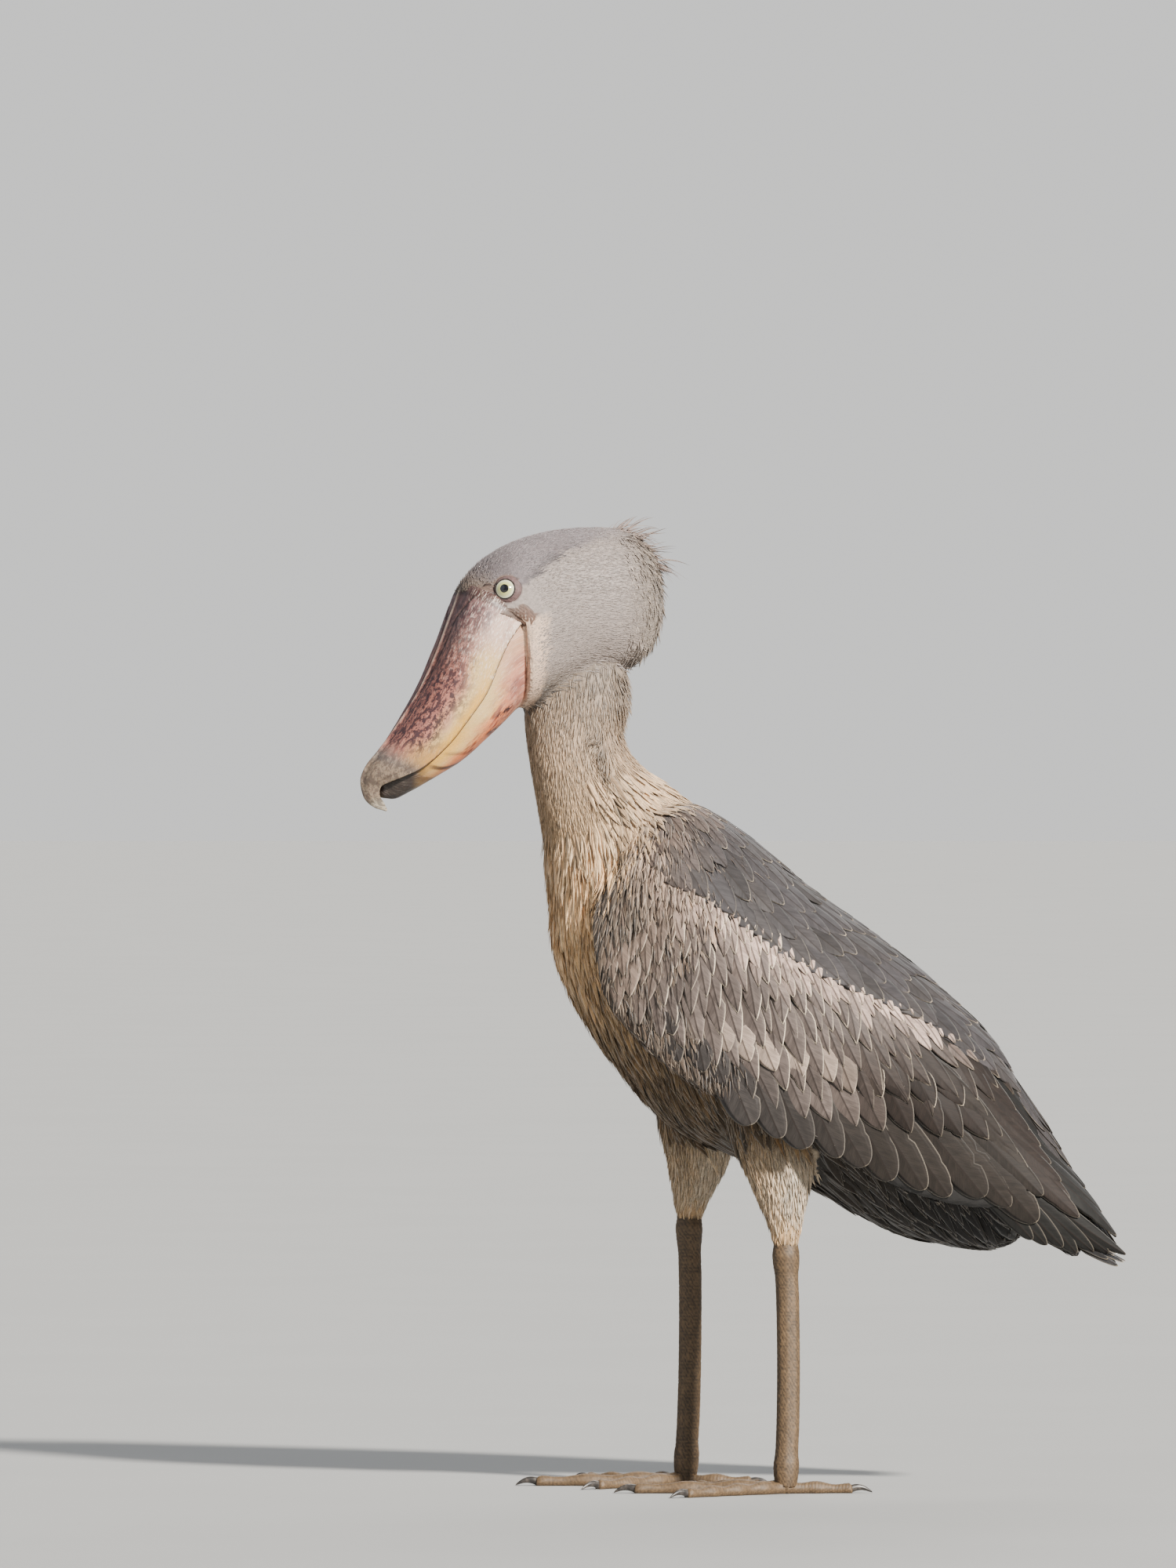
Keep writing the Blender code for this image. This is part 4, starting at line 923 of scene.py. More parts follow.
def scapularFeathers(sheet, seed):  # long slate feathers over the back, laid from the spine out
    draw = np.random.default_rng(seed)
    trial = np.stack([draw.uniform(14, 446, 40000), draw.uniform(-230, -24, 40000)], axis=-1)
    edge = np.linspace(46, 440, 27) + draw.normal(size=27) * 2
    trial = np.concatenate([np.stack([edge, scapularLine(edge) - 1 + draw.normal(size=27)], axis=-1), trial])
    low, top = scapularLine(trial[:, 0]), 15 - np.interp(trial[:, 0], sheet.along, sheet.reachUp)
    on = (trial[:, 1] > top) & (trial[:, 1] < low + 2 * (np.arange(len(trial)) < 27))
    trial, share = trial[on], ((trial[:, 1] - top) / (low - top))[on]
    width = (21 + 8 * share) * (0.7 + 0.3 * ease(trial[:, 0], 20, 120))
    slim = 1.25 + 0 * width
    degrees = np.interp(trial[:, 0], [20, 150, 420], [24, 15, 6]) * (0.3 + 0.7 * share)
    kept = spreadTips(trial, width, slim, degrees, (1.0, 0.6), 25)
    width, share, n = width[kept], share[kept], len(kept)
    colour = blended(linear("scapular"), linear("mantle"), ease(-trial[kept, 0], -90, -20) * 0.7)
    colour = blended(colour, linear("slate"), ease(draw.uniform(size=n), 0.3, 1.0) * 0.6)
    return {
        "tip": trial[kept], "degrees": degrees[kept], "length": width * 2.9, "width": width * 1.25,
        "base": 1.5 + 1.0 * (1 - share) + 0.12 * draw.normal(size=n), "fringe": draw.uniform(0.0, 0.4, n),
        "colour": colour,
    }


coat = []  # every coat piece with its record slot


def makeWings():
    for number, side in enumerate(sides):
        place = sheets[side].place
        for index, (group, entry) in enumerate(wingRows.items()):
            values = {**vaneValues, **wingStyles[group]}
            seed = 40 + index + 7 * number
            slotName = "flight_feathers" if index < 3 else "wing_plumage"
            coat.append((growOnSheet(f"{group}_{side}", place, rowFeathers(entry["rows"], seed), values, seed),
                         slotName, "vanes"))
        for index, (group, gather) in enumerate([("coverts", smallCoverts), ("scapulars", scapularFeathers)]):
            values = {**vaneValues, **wingStyles[group]}
            seed = 60 + 10 * index + number
            feathers = gather(sheets[side], seed)
            coat.append((growOnSheet(f"{group}_{side}", place, feathers, values, seed), "wing_plumage", "vanes"))


def rumpPlace(along, around, height):  # a roof from the end of the back, between the wing tips, down to the tail
    way, out = np.array([0.512, -0.859]), np.array([0.859, 0.512])
    rise = height - around**2 / 110
    return np.stack([262 + way[0] * along + out[0] * rise, around + 0 * rise,
                     421 + way[1] * along + out[1] * rise], axis=-1)


def makeRump():
    rows = [(5, 27, 207), (4, 20, 184), (5, 27, 162), (4, 20, 141), (5, 27, 120), (4, 20, 100), (5, 26, 80)]
    tips = [(reach - 0.25 * abs(y), y) for count, wide, reach in rows for y in np.linspace(-wide, wide, count)]
    tip, n = np.array(tips), len(tips)
    share = np.linspace(0, 1, n)
    feathers = {
        "tip": tip, "degrees": 0.12 * tip[:, 1], "length": 92 - 22 * share, "width": 25 - 4 * share,
        "base": 0.4 + 2.2 * share, "fringe": np.full(n, 0.2),
        "colour": blended(linear("secondary"), linear("scapular"), share),
    }
    values = {**vaneValues, **wingStyles["scapulars"], "lift": 1.2, "stray": 2.5}
    coat.append((growOnSheet("rump", rumpPlace, feathers, values, 75), "flight_feathers", "vanes"))


def makeTail():
    length = math.dist(tailValues["root"], tailValues["tip"])
    for layer, (count, reach, base, seed) in enumerate([(6, 0, 0.0, 71), (5, -12, 1.0, 72)]):
        t = np.linspace(-1, 1, count)
        feathers = {
            "tip": np.stack([length + reach - 6 * t**2, t * 36], axis=-1), "degrees": 9 * t,
            "length": np.full(count, 130.0), "width": np.full(count, 26.0), "base": base + 0.5 * (1 - np.abs(t)),
            "fringe": np.full(count, 0.3), "colour": np.tile(linear("tail"), (count, 1)),
        }
        values = {**vaneValues, **wingStyles["primaries"], "tilt": 0.0}
        coat.append((growOnSheet(f"rectrices_{layer}", tailPlace, feathers, values, seed), "flight_feathers",
                     "vanes"))


makeWings()
makeTail()
makeRump()

coatValues = {
    "crownDown": {
        "spacing": 2.3, "length": (6, 9), "width": (1.0, 1.6), "lift": 0.8, "sink": 0.6, "rise": 1.2,
        "rows": 3, "section": "tuft", "outline": (0.75, 0.4, 1.5, 1.2), "camber": 0.0, "thick": 0.35,
        "stray": 9, "wander": 9, "roll": 16, "follow": 0.4, "sag": 0.0, "toneSpread": 0.08, "toneWave": 0.05,
        "warmSpread": 0.012, "tones": (0.84, 1.08), "fringe": 0.0,
    },
    "headDown": {
        "spacing": 2.2, "length": (7, 10.5), "width": (0.9, 1.5), "lift": 0.7, "sink": 0.6, "rise": 1.2,
        "rows": 3, "section": "tuft", "outline": (0.75, 0.4, 1.5, 1.2), "camber": 0.0, "thick": 0.3,
        "stray": 9, "wander": 8, "roll": 14, "follow": 0.4, "sag": 0.0, "toneSpread": 0.035, "toneWave": 0.035,
        "warmSpread": 0.01, "tones": (0.92, 1.03), "fringe": 0.0,
    },
    "neckDown": {
        "spacing": 2.9, "length": (12, 20), "width": (1.3, 2.4), "lift": 1.2, "sink": 1.0, "rise": 1.2,
        "rows": 3, "section": "tuft", "outline": (0.7, 0.35, 1.5, 1.1), "camber": 0.0, "thick": 0.45,
        "stray": 12, "wander": 14, "roll": 20, "follow": 0.35, "sag": 0.5, "toneSpread": 0.055, "toneWave": 0.06,
        "warmSpread": 0.02, "tones": (0.88, 1.04), "fringe": 0.0,
    },
    "shoulderPlumes": {
        "spacing": 6.3, "length": (26, 44), "width": (5.2, 8.6), "lift": 3.0, "sink": 1.8, "rise": 1.1,
        "rows": 5, "section": "plume", "outline": (0.55, 0.42, 1.6, 1.2), "camber": 0.1, "thick": 0.5,
        "stray": 8, "wander": 12, "roll": 14, "follow": 0.3, "sag": 0.2, "toneSpread": 0.12, "toneWave": 0.1,
        "warmSpread": 0.03, "tones": (0.72, 1.12), "fringe": 0.2,
    },
    "breastPlumes": {
        "spacing": 7.6, "length": (36, 60), "width": (6.0, 10.5), "lift": 4.0, "sink": 2.0, "rise": 1.1,
        "rows": 6, "section": "plume", "outline": (0.5, 0.4, 1.5, 1.0), "camber": 0.12, "thick": 0.5,
        "stray": 8, "wander": 13, "roll": 20, "follow": 0.3, "sag": 0.6, "toneSpread": 0.09, "toneWave": 0.1,
        "warmSpread": 0.03, "tones": (0.8, 1.12), "fringe": 0.3,
    },
    "breastStrands": {
        "spacing": 6.3, "length": (24, 42), "width": (1.6, 3.0), "lift": 5.2, "sink": 1.5, "rise": 1.1,
        "rows": 6, "section": "tuft", "outline": (0.6, 0.3, 1.4, 1.0), "camber": 0.0, "thick": 0.6,
        "stray": 13, "wander": 16, "roll": 25, "follow": 0.3, "sag": 0.6, "toneSpread": 0.16, "toneWave": 0.06,
        "warmSpread": 0.05, "tones": (0.8, 1.25), "fringe": 0.0,
    },
    "mantleFeathers": {
        "spacing": 5.6, "length": (24, 38), "width": (5, 8.5), "lift": 3.0, "sink": 1.6, "rise": 1.0,
        "rows": 6, "section": "plume", "outline": (0.6, 0.42, 1.6, 1.15), "camber": 0.1, "thick": 0.5,
        "stray": 7, "wander": 8, "roll": 12, "follow": 0.3, "sag": 0.2, "toneSpread": 0.09, "toneWave": 0.05,
        "warmSpread": 0.02, "tones": (0.75, 1.06), "fringe": 0.35,
    },
    "spineFeathers": {
        "spacing": 8.5, "length": (46, 72), "width": (14, 20), "lift": 3.4, "sink": 1.6, "rise": 1.0,
        "rows": 8, "section": "plume", "outline": (0.6, 0.45, 2.0, 1.4), "camber": 0.08, "thick": 0.5,
        "stray": 4, "wander": 4, "roll": 6, "follow": 0.3, "sag": 0.0, "toneSpread": 0.12, "toneWave": 0.05,
        "warmSpread": 0.02, "tones": (0.8, 1.1), "fringe": 0.12,
    },
    "bellyPlumes": {
        "spacing": 10.0, "length": (40, 66), "width": (9, 14), "lift": 3.6, "sink": 2.0, "rise": 1.1,
        "rows": 6, "section": "plume", "outline": (0.5, 0.4, 1.6, 1.1), "camber": 0.1, "thick": 0.5,
        "stray": 9, "wander": 10, "roll": 16, "follow": 0.3, "sag": 0.15, "toneSpread": 0.12, "toneWave": 0.06,
        "warmSpread": 0.03, "tones": (0.7, 1.1), "fringe": 0.15,
    },
    "thighFeathers": {
        "spacing": 3.9, "length": (12, 27), "width": (2.6, 4.4), "lift": 2.6, "sink": 1.4, "rise": 1.1,
        "rows": 5, "section": "tuft", "outline": (0.6, 0.35, 1.5, 1.1), "camber": 0.0, "thick": 0.6,
        "stray": 10, "wander": 10, "roll": 20, "follow": 0.35, "sag": 0.3, "toneSpread": 0.13, "toneWave": 0.08,
        "warmSpread": 0.03, "tones": (0.7, 1.12), "fringe": 0.0,
    },
}


wispValues = {
    # degrees up from straight back and to each side, seen from the middle of the skull; lean away from it
    "middle": (10, 0, 885),
    "crest": {"count": 170, "up": (74, 26), "spread": 34, "length": (12, 52), "width": (1.1, 2.3), "lean": (18, 60),
              "droop": 0.25, "wave": 0.13, "rows": 9, "tones": (0.95, 0.6), "own": 0.7, "seed": 81},
    "ruff": {"count": 1700, "up": (62, -62), "spread": 70, "length": (9, 17), "width": (1.4, 2.5), "lean": (60, 86),
             "droop": 0.22, "wave": 0.07, "rows": 5, "tones": (1.0, 0.6), "own": 0.0, "seed": 82},
}


def growWisps(name, values):  # loose strands that stand off the back of the crown and the nape
    draw = np.random.default_rng(values["seed"])
    n, rows = values["count"], values["rows"]
    up = np.radians(draw.uniform(*sorted(values["up"]), n))
    side = np.radians(values["spread"] * draw.uniform(-1, 1, n))
    out = np.stack([np.cos(up) * np.cos(side), np.cos(up) * np.sin(side), np.sin(up)], axis=-1)
    out = turned(out) - turned(np.zeros(3))
    middle = turned(wispValues["middle"])
    roots = np.array([hideTree.ray_cast(Vector(middle), Vector(o))[0] for o in out])
    down = -unit(np.stack([-out[:, 2] * out[:, 0], -out[:, 2] * out[:, 1], out[:, 0] ** 2 + out[:, 1] ** 2],
                          axis=-1))
    lean = np.radians(draw.uniform(*values["lean"], n))[:, None]
    way = unit(out * np.cos(lean) + down * np.sin(lean) + 0.16 * draw.normal(size=(n, 3)))
    aside = unit(np.cross(way, out) + 0.5 * draw.normal(size=(n, 3)))
    t = stationsAlong(rows)[None, :, None]
    length = draw.uniform(*values["length"], (n, 1, 1)) * draw.uniform(0.5, 1, (n, 1, 1))
    inner = ease(-np.abs(np.degrees(side)) / values["spread"], -1.0, -0.55)[:, None, None]
    low = ease(np.degrees(up), -62, -30)[:, None, None]
    length = length * (0.45 + 0.55 * inner) * (0.55 + 0.45 * low)
    sway = values["wave"] * draw.normal(size=(n, 1, 1)) * np.sin(2.6 * t + draw.uniform(0, 3, (n, 1, 1)))
    bend = np.array([0, 0, -1.0]) * values["droop"] * draw.uniform(0.2, 1.8, (n, 1, 1)) * t**2
    centre = roots[:, None] - way[:, None] * 1.5 + length * (way[:, None] * t + aside[:, None] * sway * t + bend)
    tangent = unit(np.gradient(centre, axis=1))
    across3 = unit(np.cross(tangent, np.cross(aside[:, None], tangent)))
    normal = np.cross(across3, tangent)
    half = draw.uniform(*values["width"], (n, 1)) / 2 * outline(t[..., 0], 0.7, 0.3, 1.3, 1.05)
    across, wide, rise = crossSection("tuft", half, 0.0, 0.5, 0.0)
    points = centre[:, :, None] + across3[:, :, None] * wide[..., None] + normal[:, :, None] * rise[..., None]
    tone = 1 + 0.14 * draw.normal(size=n)
    ends = values["tones"][0] + (values["tones"][1] - values["tones"][0]) * ease(t[..., 0], 0.55, 0.95)
    ends = 1 + (ends - 1) * inner[..., 0]
    start = onHide(roots)[2]
    colour = survey["colour"][start] + (linear("crest") - survey["colour"][start]) * values["own"]
    colour = colour[:, None, None] * (tone[:, None] * ends)[:, :, None, None]
    facts = (np.zeros(n), draw.uniform(size=n))
    patches = (survey["bake"][start], np.full((n, 2), 0.003))
    return vaneMesh(name, points, half, across, length[..., 0] * t[..., 0], facts, colour, patches)


def nearBare(near, roots, length, width, lift, stray):  # down is shortest beside the eye and the bill
    own = turnedBack(roots)
    gap = outsidePatch(own[:, 0], own[:, 2])
    billGap = (own[:, 0] + 130) * 0.487 + (own[:, 2] - 892) * 0.874
    chinGap = own[:, 0] + 78 - (863 - own[:, 2]) * 0.092
    gap = np.minimum(gap, np.maximum(billGap, chinGap))
    share = 0.5 + 0.5 * ease(gap, 1, 16)
    lores = ease(-own[:, 0], 96, 116) * ease(own[:, 2], 870, 886)
    return length * share, width * (0.8 + 0.2 * share), lift * (share + 1.6 * lores), stray * (1 + 1.6 * lores)


def roundFold(near, roots, length, width, lift, stray):  # the neck's feathers turn and rise along the fold
    share = foldShare(roots)
    lean = np.sign(roots[:, 1]) * 0.9 * share * (1 + 0.5 * ripple(roots, 18, 78))
    nape = ease(roots[:, 2], 735, 775) * ease(roots[:, 0], -138, -118)
    clump = ripple(roots, 14, 79) * 0.5
    return length * (1 - 0.35 * share), width, lift * (1 + 1.6 * share + (3.2 + clump) * nape), stray + lean


def shortBelow(near, roots, length, width, lift, stray):  # the thigh's feathers end close on the scaly skin
    share = survey["first"][near]
    return (length * (1 - 0.45 * ease(share, 0.6, 1)), width * (1 - 0.3 * ease(share, 0.6, 1)),
            lift * (1 - 0.75 * ease(share, 0.45, 0.95)), stray)


tuners = {"crownDown": nearBare, "headDown": nearBare, "neckDown": roundFold, "thighFeathers": shortBelow}


def makeCoat():
    zone, first, second = survey["zone"], survey["first"], survey["second"]
    trunk, fore = zone == 0, -second  # fore is 1 on the back and -1 on the front
    shoulder = ((zone == 4) | (zone == 5)) & (((first < 78) & (second > 0.2)) | ((first < 190) & (second > 0.84)))
    neck = trunk & (first < 5.2)
    backward = trunk & (first >= 3.0) & (fore > 0.0) & (first < 9)
    spine = ((zone == 4) | (zone == 5)) & (second < 0.13) & (first > 40) & (survey["places"][:, 0] < 271)
    breast = trunk & (first >= 4.0) & (first < 9.0) & (fore < 0.35)
    belly = (trunk & (first >= 8.6) & ~backward) | ((zone == 6) & (second < 0.6))
    places = turnedBack(survey["places"])
    bareGap = np.where(zone == 1, outsidePatch(places[:, 0], places[:, 2]), 50.0)
    head = (zone == 1) & ((bareGap > 1.2) | (np.abs(places[:, 1]) < 20))
    crown = head & (places[:, 2] > 893)
    pieces = [
        ("crownDown", crown, 10, "head_plumage"), ("headDown", head & ~crown, 11, "head_plumage"),
        ("neckDown", neck, 12, "neck_plumage"),
        ("breastPlumes", breast, 13, "body_plumage"), ("breastStrands", breast | shoulder, 14, "body_plumage"),
        ("shoulderPlumes", shoulder, 18, "wing_plumage"), ("spineFeathers", spine, 19, "wing_plumage"),
        ("mantleFeathers", backward, 15, "body_plumage"), ("bellyPlumes", belly, 16, "body_plumage"),
        ("thighFeathers", (zone == 2) | (zone == 3), 17, "thigh_plumage"),
    ]
    for name, wanted, seed, slotName in pieces:
        made = growOnHide(name, coatValues[name], wanted.astype(float), seed, tuners.get(name))
        coat.append((made, slotName, "down"))
    for name in ("crest", "ruff"):
        coat.append((growWisps(name, wispValues[name]), "head_plumage", "down"))


# The bill, in the head's own frame. Upper: keel (x, z), cutting edge (x, z), half width, squareness.
# Lower: upper edge (x, z), lower edge (x, z), half width.
billValues = {
    "upper": [
        (-129.5, 891.5, -79, 863.5, 50, 3.6), (-139, 866, -94, 844, 53, 3.5),
        (-150, 838, -105.5, 822, 55, 3.3), (-164, 807, -118, 792.5, 54, 3.1),
        (-181, 778, -135.5, 767, 51, 2.9), (-198, 753, -154, 742, 45, 2.7), (-213, 734, -176, 721, 37, 2.5),
        (-224, 721, -197, 710, 27, 2.3), (-229.5, 710, -208, 705, 19, 2.2), (-230.5, 700, -215, 700, 12, 2.1),
        (-227, 688, -215, 691, 8, 2.0), (-218, 680, -210, 684.5, 4.5, 2.0), (-206, 675.5, -205, 677, 1.2, 2.0),
    ],
    "lower": [
        (-75, 866, -71, 778, 48), (-91, 853, -75, 775, 50), (-101, 834, -81, 770, 52),
        (-113, 807, -93, 759, 52), (-128, 780, -110, 743.5, 50), (-147, 753, -132, 725, 44),
        (-168, 730, -157, 709.5, 36.5), (-189, 715, -183, 695, 25.5), (-201, 710, -197, 688, 17),
        (-208, 707, -206, 688, 10), (-211.5, 705, -210, 688.5, 7.5), (-213.6, 702, -212.6, 690, 4.5),
        (-214.4, 698, -214, 694, 1.5),
    ],
    "upperSunk": (9 * 0.487, 9 * 0.874), "lowerSunk": (10, 1), "steps": 15, "archPoints": 131, "palatePoints": 15,
    "lowerSquareness": 2.6, "lowerPoints": 101, "insideRise": 3.0,
    "keel": (2.5, 2.4),  # height, width
    "groove": [(0, 35), (5, 32), (27, 15), (60, 11), (100, 5.5), (135, 2.6)],  # mm along, mm beside the keel
    "grooveDepth": [(0, 0.2), (5, 2.6), (24, 3.2), (30, 1.1), (100, 0.8), (130, 0.0)],
    "grooveWidth": [(0, 1.2), (24, 1.5), (30, 0.8), (130, 0.7)],
}


def stops(value, pairs):
    return np.interp(value, [p[0] for p in pairs], [p[1] for p in pairs])


def billMesh(name, outer, inner, flat, tint, zones):  # a closed loft of an outer wall and an inner one
    made = loftMesh(name, turned(np.concatenate([outer, inner], axis=1)))
    spare = inner.shape[1]
    flat, tint, zones = (
        np.concatenate([part, np.repeat(part[:, -1:], spare, axis=1)], axis=1).reshape(-1, part.shape[-1])
        for part in (flat, tint, zones))
    uvLayers(made, {"flat": flat})
    paintPoints(made, tint)
    pointLayer(made, "zones", "FLOAT_VECTOR", zones)
    faceOutwards(made, join=False)
    return made


def billTable(half):  # the stations of one half of the bill, with one more sunk into the head
    rows = np.array(billValues[half], float)
    root = rows[0].copy()
    root[[0, 2]] += billValues[half + "Sunk"][0]
    root[[1, 3]] += billValues[half + "Sunk"][1]
    root[4] -= 2.0
    return np.vstack([root, smoothRows(rows, billValues["steps"])])


def billPlan(curves, points):
    # the wall with its points evenly spread, its outward normals, each curve's half length, and for each point
    # the mm beside the middle line and along it
    found = [evenly(curve, points) for curve in curves]
    wall = np.array([curve for curve, _ in found])
    span = np.array([length / 2 for _, length in found])[:, None]
    beside = span * np.abs(np.linspace(-1, 1, points))[None]
    along = travelled(wall[:, points // 2])[:, None]
    normal = unit(np.cross(np.gradient(wall, axis=1), np.gradient(wall, axis=0)))
    normal *= np.sign(np.sum(normal * (wall - wall.mean(1, keepdims=True)), axis=-1, keepdims=True) + 1e-9)
    return wall, normal, span, beside, along - along[1] + 0 * beside


def mixedColours(layers):  # from a base colour name, then (colour name, share) pairs laid over it
    base = linear(layers[0]) + np.zeros(layers[1][1].shape + (3,))
    for name, share in layers[1:]:
        base = base + (linear(name) - base) * np.clip(share, 0, 1)[..., None]
    return base


def makeUpperBill():
    points, curves = billValues["archPoints"], []
    for kx, kz, ex, ez, half, squareness in billTable("upper"):
        c, s = superOval(np.linspace(-np.pi / 2, np.pi / 2, 721), squareness)
        curves.append(np.stack([ex + (kx - ex) * c, half * s, ez + (kz - ez) * c], axis=1))
    arch, normal, span, beside, along = billPlan(curves, points)
    edge = span - beside
    size = np.minimum(1, span / 30)
    height, width = billValues["keel"]
    push = height * size * np.exp(-((beside / width) ** 2))
    groove, depth, wide = (stops(along, billValues[key]) for key in ("groove", "grooveDepth", "grooveWidth"))
    push = push - depth * np.exp(-(((beside - groove) / wide) ** 2))
    push = push + 0.7 * size * np.exp(-((edge / 3.0) ** 2)) - 0.35 * size * np.exp(-(((edge - 6.5) / 1.2) ** 2))
    flatPlaces = np.stack([arch[..., 1], beside, along], axis=-1)
    waves = ripple(flatPlaces * [1, 1, 0.35], 17, 301) * 0.28
    ridges = ripple(flatPlaces * [1, 1, 0.12], 4.5, 302) * 0.11
    fade = ease(along, 2, 12) * ease(-along, -205, -150)
    push = push + (waves + ridges) * size * fade
    arch = arch + normal * push[..., None]
    lift = np.minimum(2.5, span * 0.12)
    up = unit(arch[:, points // 2] - (arch[:, 0] + arch[:, -1]) / 2)
    across = np.linspace(0.93, -0.93, billValues["palatePoints"])
    middle = (arch[:, 0] + arch[:, -1]) / 2
    half = (arch[:, -1] - arch[:, 0]) / 2
    palate = middle[:, None] + half[:, None] * across[None, :, None] + (up * lift)[:, None]
    share = np.clip(along / 195, 0, 1)
    side = beside / span  # 0 at the keel, 1 at the cutting edge
    blot = ripple(flatPlaces * [1, 1, 0.45], 21, 303) * 0.5
    further = 0.2 * ease(share, 0.3, 0.6)
    keelSide = ease(-side + 0.1 * blot, -0.86 - 0.5 * further, -0.5 - further)
    hook = ease(along + edge * 0.15, 176, 192)
    layers = ["billPink",
              ("billPale", ease(-share, -0.5, -0.1) * ease(side + 0.15 * blot, 0.3, 0.8) * 0.7),
              ("billMauve", ease(-share, -0.45, -0.08) * ease(-side + 0.3 * blot, -0.95, -0.45) * 0.85),
              ("billRose", ease(share, 0.2, 0.42) * ease(-share, -0.93, -0.78) * keelSide * 0.75),
              ("billCream", ease(side + 0.1 * blot, 0.62, 0.88) * ease(share, 0.12, 0.35)),
              ("billYellow", ease(side, 0.82, 0.97) * ease(share, 0.25, 0.55) * 0.9),
              ("billTan", ease(share, 0.76, 0.88) * ease(side, 0.3, 0.8) * 0.8),
              ("billCream", ease(-edge, -2.2, -0.6) * ease(-share, -0.8, -0.6) * 0.6),
              # painted shade: the nasal groove is darkened by its depth, and darkest in the nostril at its deep end
              ("billBrown", np.exp(-(((beside - groove) / (wide + 0.8)) ** 2)) * ease(depth, 0.1, 0.7) * 0.9),
              ("lidRim", np.exp(-(((beside - groove) / 1.5) ** 2)) * ease(depth, 1.6, 2.8)),
              ("billBrown", ease(-edge, -1.8, -0.7)),
              ("billBrown", ease(-along, -4.5, -0.5) * 0.8),
              ("hookGrey", hook),
              ("hookTan", hook * ease(share, 0.93, 1.0) * 0.5),
              ("hookPale", ease(along, 230, 244)),
              ("keelWhite", np.exp(-((beside / 1.3) ** 2)) * ease(-share, -0.92, -0.8) * 0.9)]
    along2 = along / 195
    tint = mixedColours(layers)
    dark = keelSide * ease(along2, -0.01, 0.05) * ease(-along2, -0.95, -0.82)
    dark = np.maximum(dark * (0.7 + 0.3 * ease(along2, 0.25, 0.5)), 0.2 * ease(-side, -0.92, -0.7)) * (1 - hook)
    dark = dark * (1 - np.exp(-((beside / 1.8) ** 2)))
    light = ease(-along2, -0.55, -0.25) * ease(side, 0.2, 0.5) * (1 - hook) + 0.15
    rose = ease(along2, 0.2, 0.45) * ease(-side, -0.8, -0.4) * (1 - hook)
    zones = np.stack([dark + 0.6 * hook, light, rose], axis=-1)
    flat = np.stack([np.sign(np.linspace(-1, 1, points)) * beside, along], axis=-1)
    return billMesh("billUpper", arch, palate, flat, tint, zones)


def makeLowerBill():
    points, curves = billValues["lowerPoints"], []
    for tx, tz, bx, bz, half in billTable("lower"):
        c, s = superOval(np.linspace(0, np.pi, 721), billValues["lowerSquareness"])
        curves.append(np.stack([tx + (bx - tx) * np.abs(s), half * c, tz + (bz - tz) * np.abs(s)], axis=1))
    wall, normal, span, beside, along = billPlan(curves, points)
    edge = span - beside
    size = np.minimum(1, span / 25)
    flatPlaces = np.stack([wall[..., 1], beside, along], axis=-1)
    waves = ripple(flatPlaces * [1, 1, 0.35], 15, 311) * 0.22
    ridges = ripple(flatPlaces * [1, 1, 0.12], 4, 312) * 0.09
    furrow = np.exp(-((beside / 5.0) ** 2)) * ease(-along, -105, -60)
    push = (waves + ridges) * size - 1.4 * furrow * size
    wall = wall + normal * push[..., None]
    lift = unit(wall[:, [0]] - wall[:, [points // 2]])
    rise = np.minimum(billValues["insideRise"], span * 0.1)[..., None]
    ends = wall[:, -1:], wall[:, :1]
    across = np.linspace(0, 1, 12)[None, :, None]
    inside = ends[0] * (1 - across) + ends[1] * across
    inside = inside * [1, 0.92, 1] + lift * [1, 0, 1] * rise
    side = edge / span  # 0 at the seam, 1 underneath
    share = along / 168
    blot = ripple(flatPlaces * [1, 1, 0.45], 19, 313) * 0.5
    slant = along + edge * 0.9
    stripes = 0.5 + 0.5 * np.sin(slant / 3.1 + 1.4 * blot)
    marks = ripple(flatPlaces * [1, 2.6, 1], 7, 314)
    marks = ease(marks, 0.15, 0.8) * ease(side, 0.22, 0.36) * ease(-side, -0.9, -0.7)
    marks = marks * ease(share, 0.08, 0.16) * ease(-share, -0.6, -0.4)
    tip = ease(along - edge * 0.25, 112, 140)
    layers = ["billCream",
              ("billSalmon", ease(side + 0.12 * blot, 0.12, 0.42) * ease(-share, -0.85, -0.55)),
              ("billPink", ease(-share, -0.22, -0.05) * 0.7),
              ("billYellow", ease(share, 0.3, 0.55) * ease(-side, -0.32, -0.1) * 0.85),
              ("gular", ease(side, 0.66, 0.86) * ease(-share, -0.75, -0.4) * 0.8),
              ("billBrown", ease(-edge, -2.4, -1.2)),
              ("billRed", marks * 0.8),
              ("billBrown", ease(stripes, 0.62, 0.95) * ease(slant, 96, 112) * ease(side, 0.02, 0.2) * 0.9),
              ("billTan", ease(share, 0.62, 0.78) * 0.6),
              ("hookDark", tip)]
    tint = mixedColours(layers)
    dark = ease(stripes, 0.5, 0.9) * ease(side, 0.3, 0.45) * ease(-share, -0.5, -0.2) * ease(share, 0.0, 0.1)
    zones = np.stack([dark * 1.1 + 0.2 * tip, 0.25 * ease(-share, -0.4, -0.1) + 0 * side + 0.12,
                      ease(-share, -0.55, -0.1) * ease(side, 0.05, 0.4) * 0.8], axis=-1)
    flat = np.stack([np.sign(np.linspace(-1, 1, points)) * beside, along], axis=-1)
    return billMesh("billLower", wall, inside, flat, tint, zones)


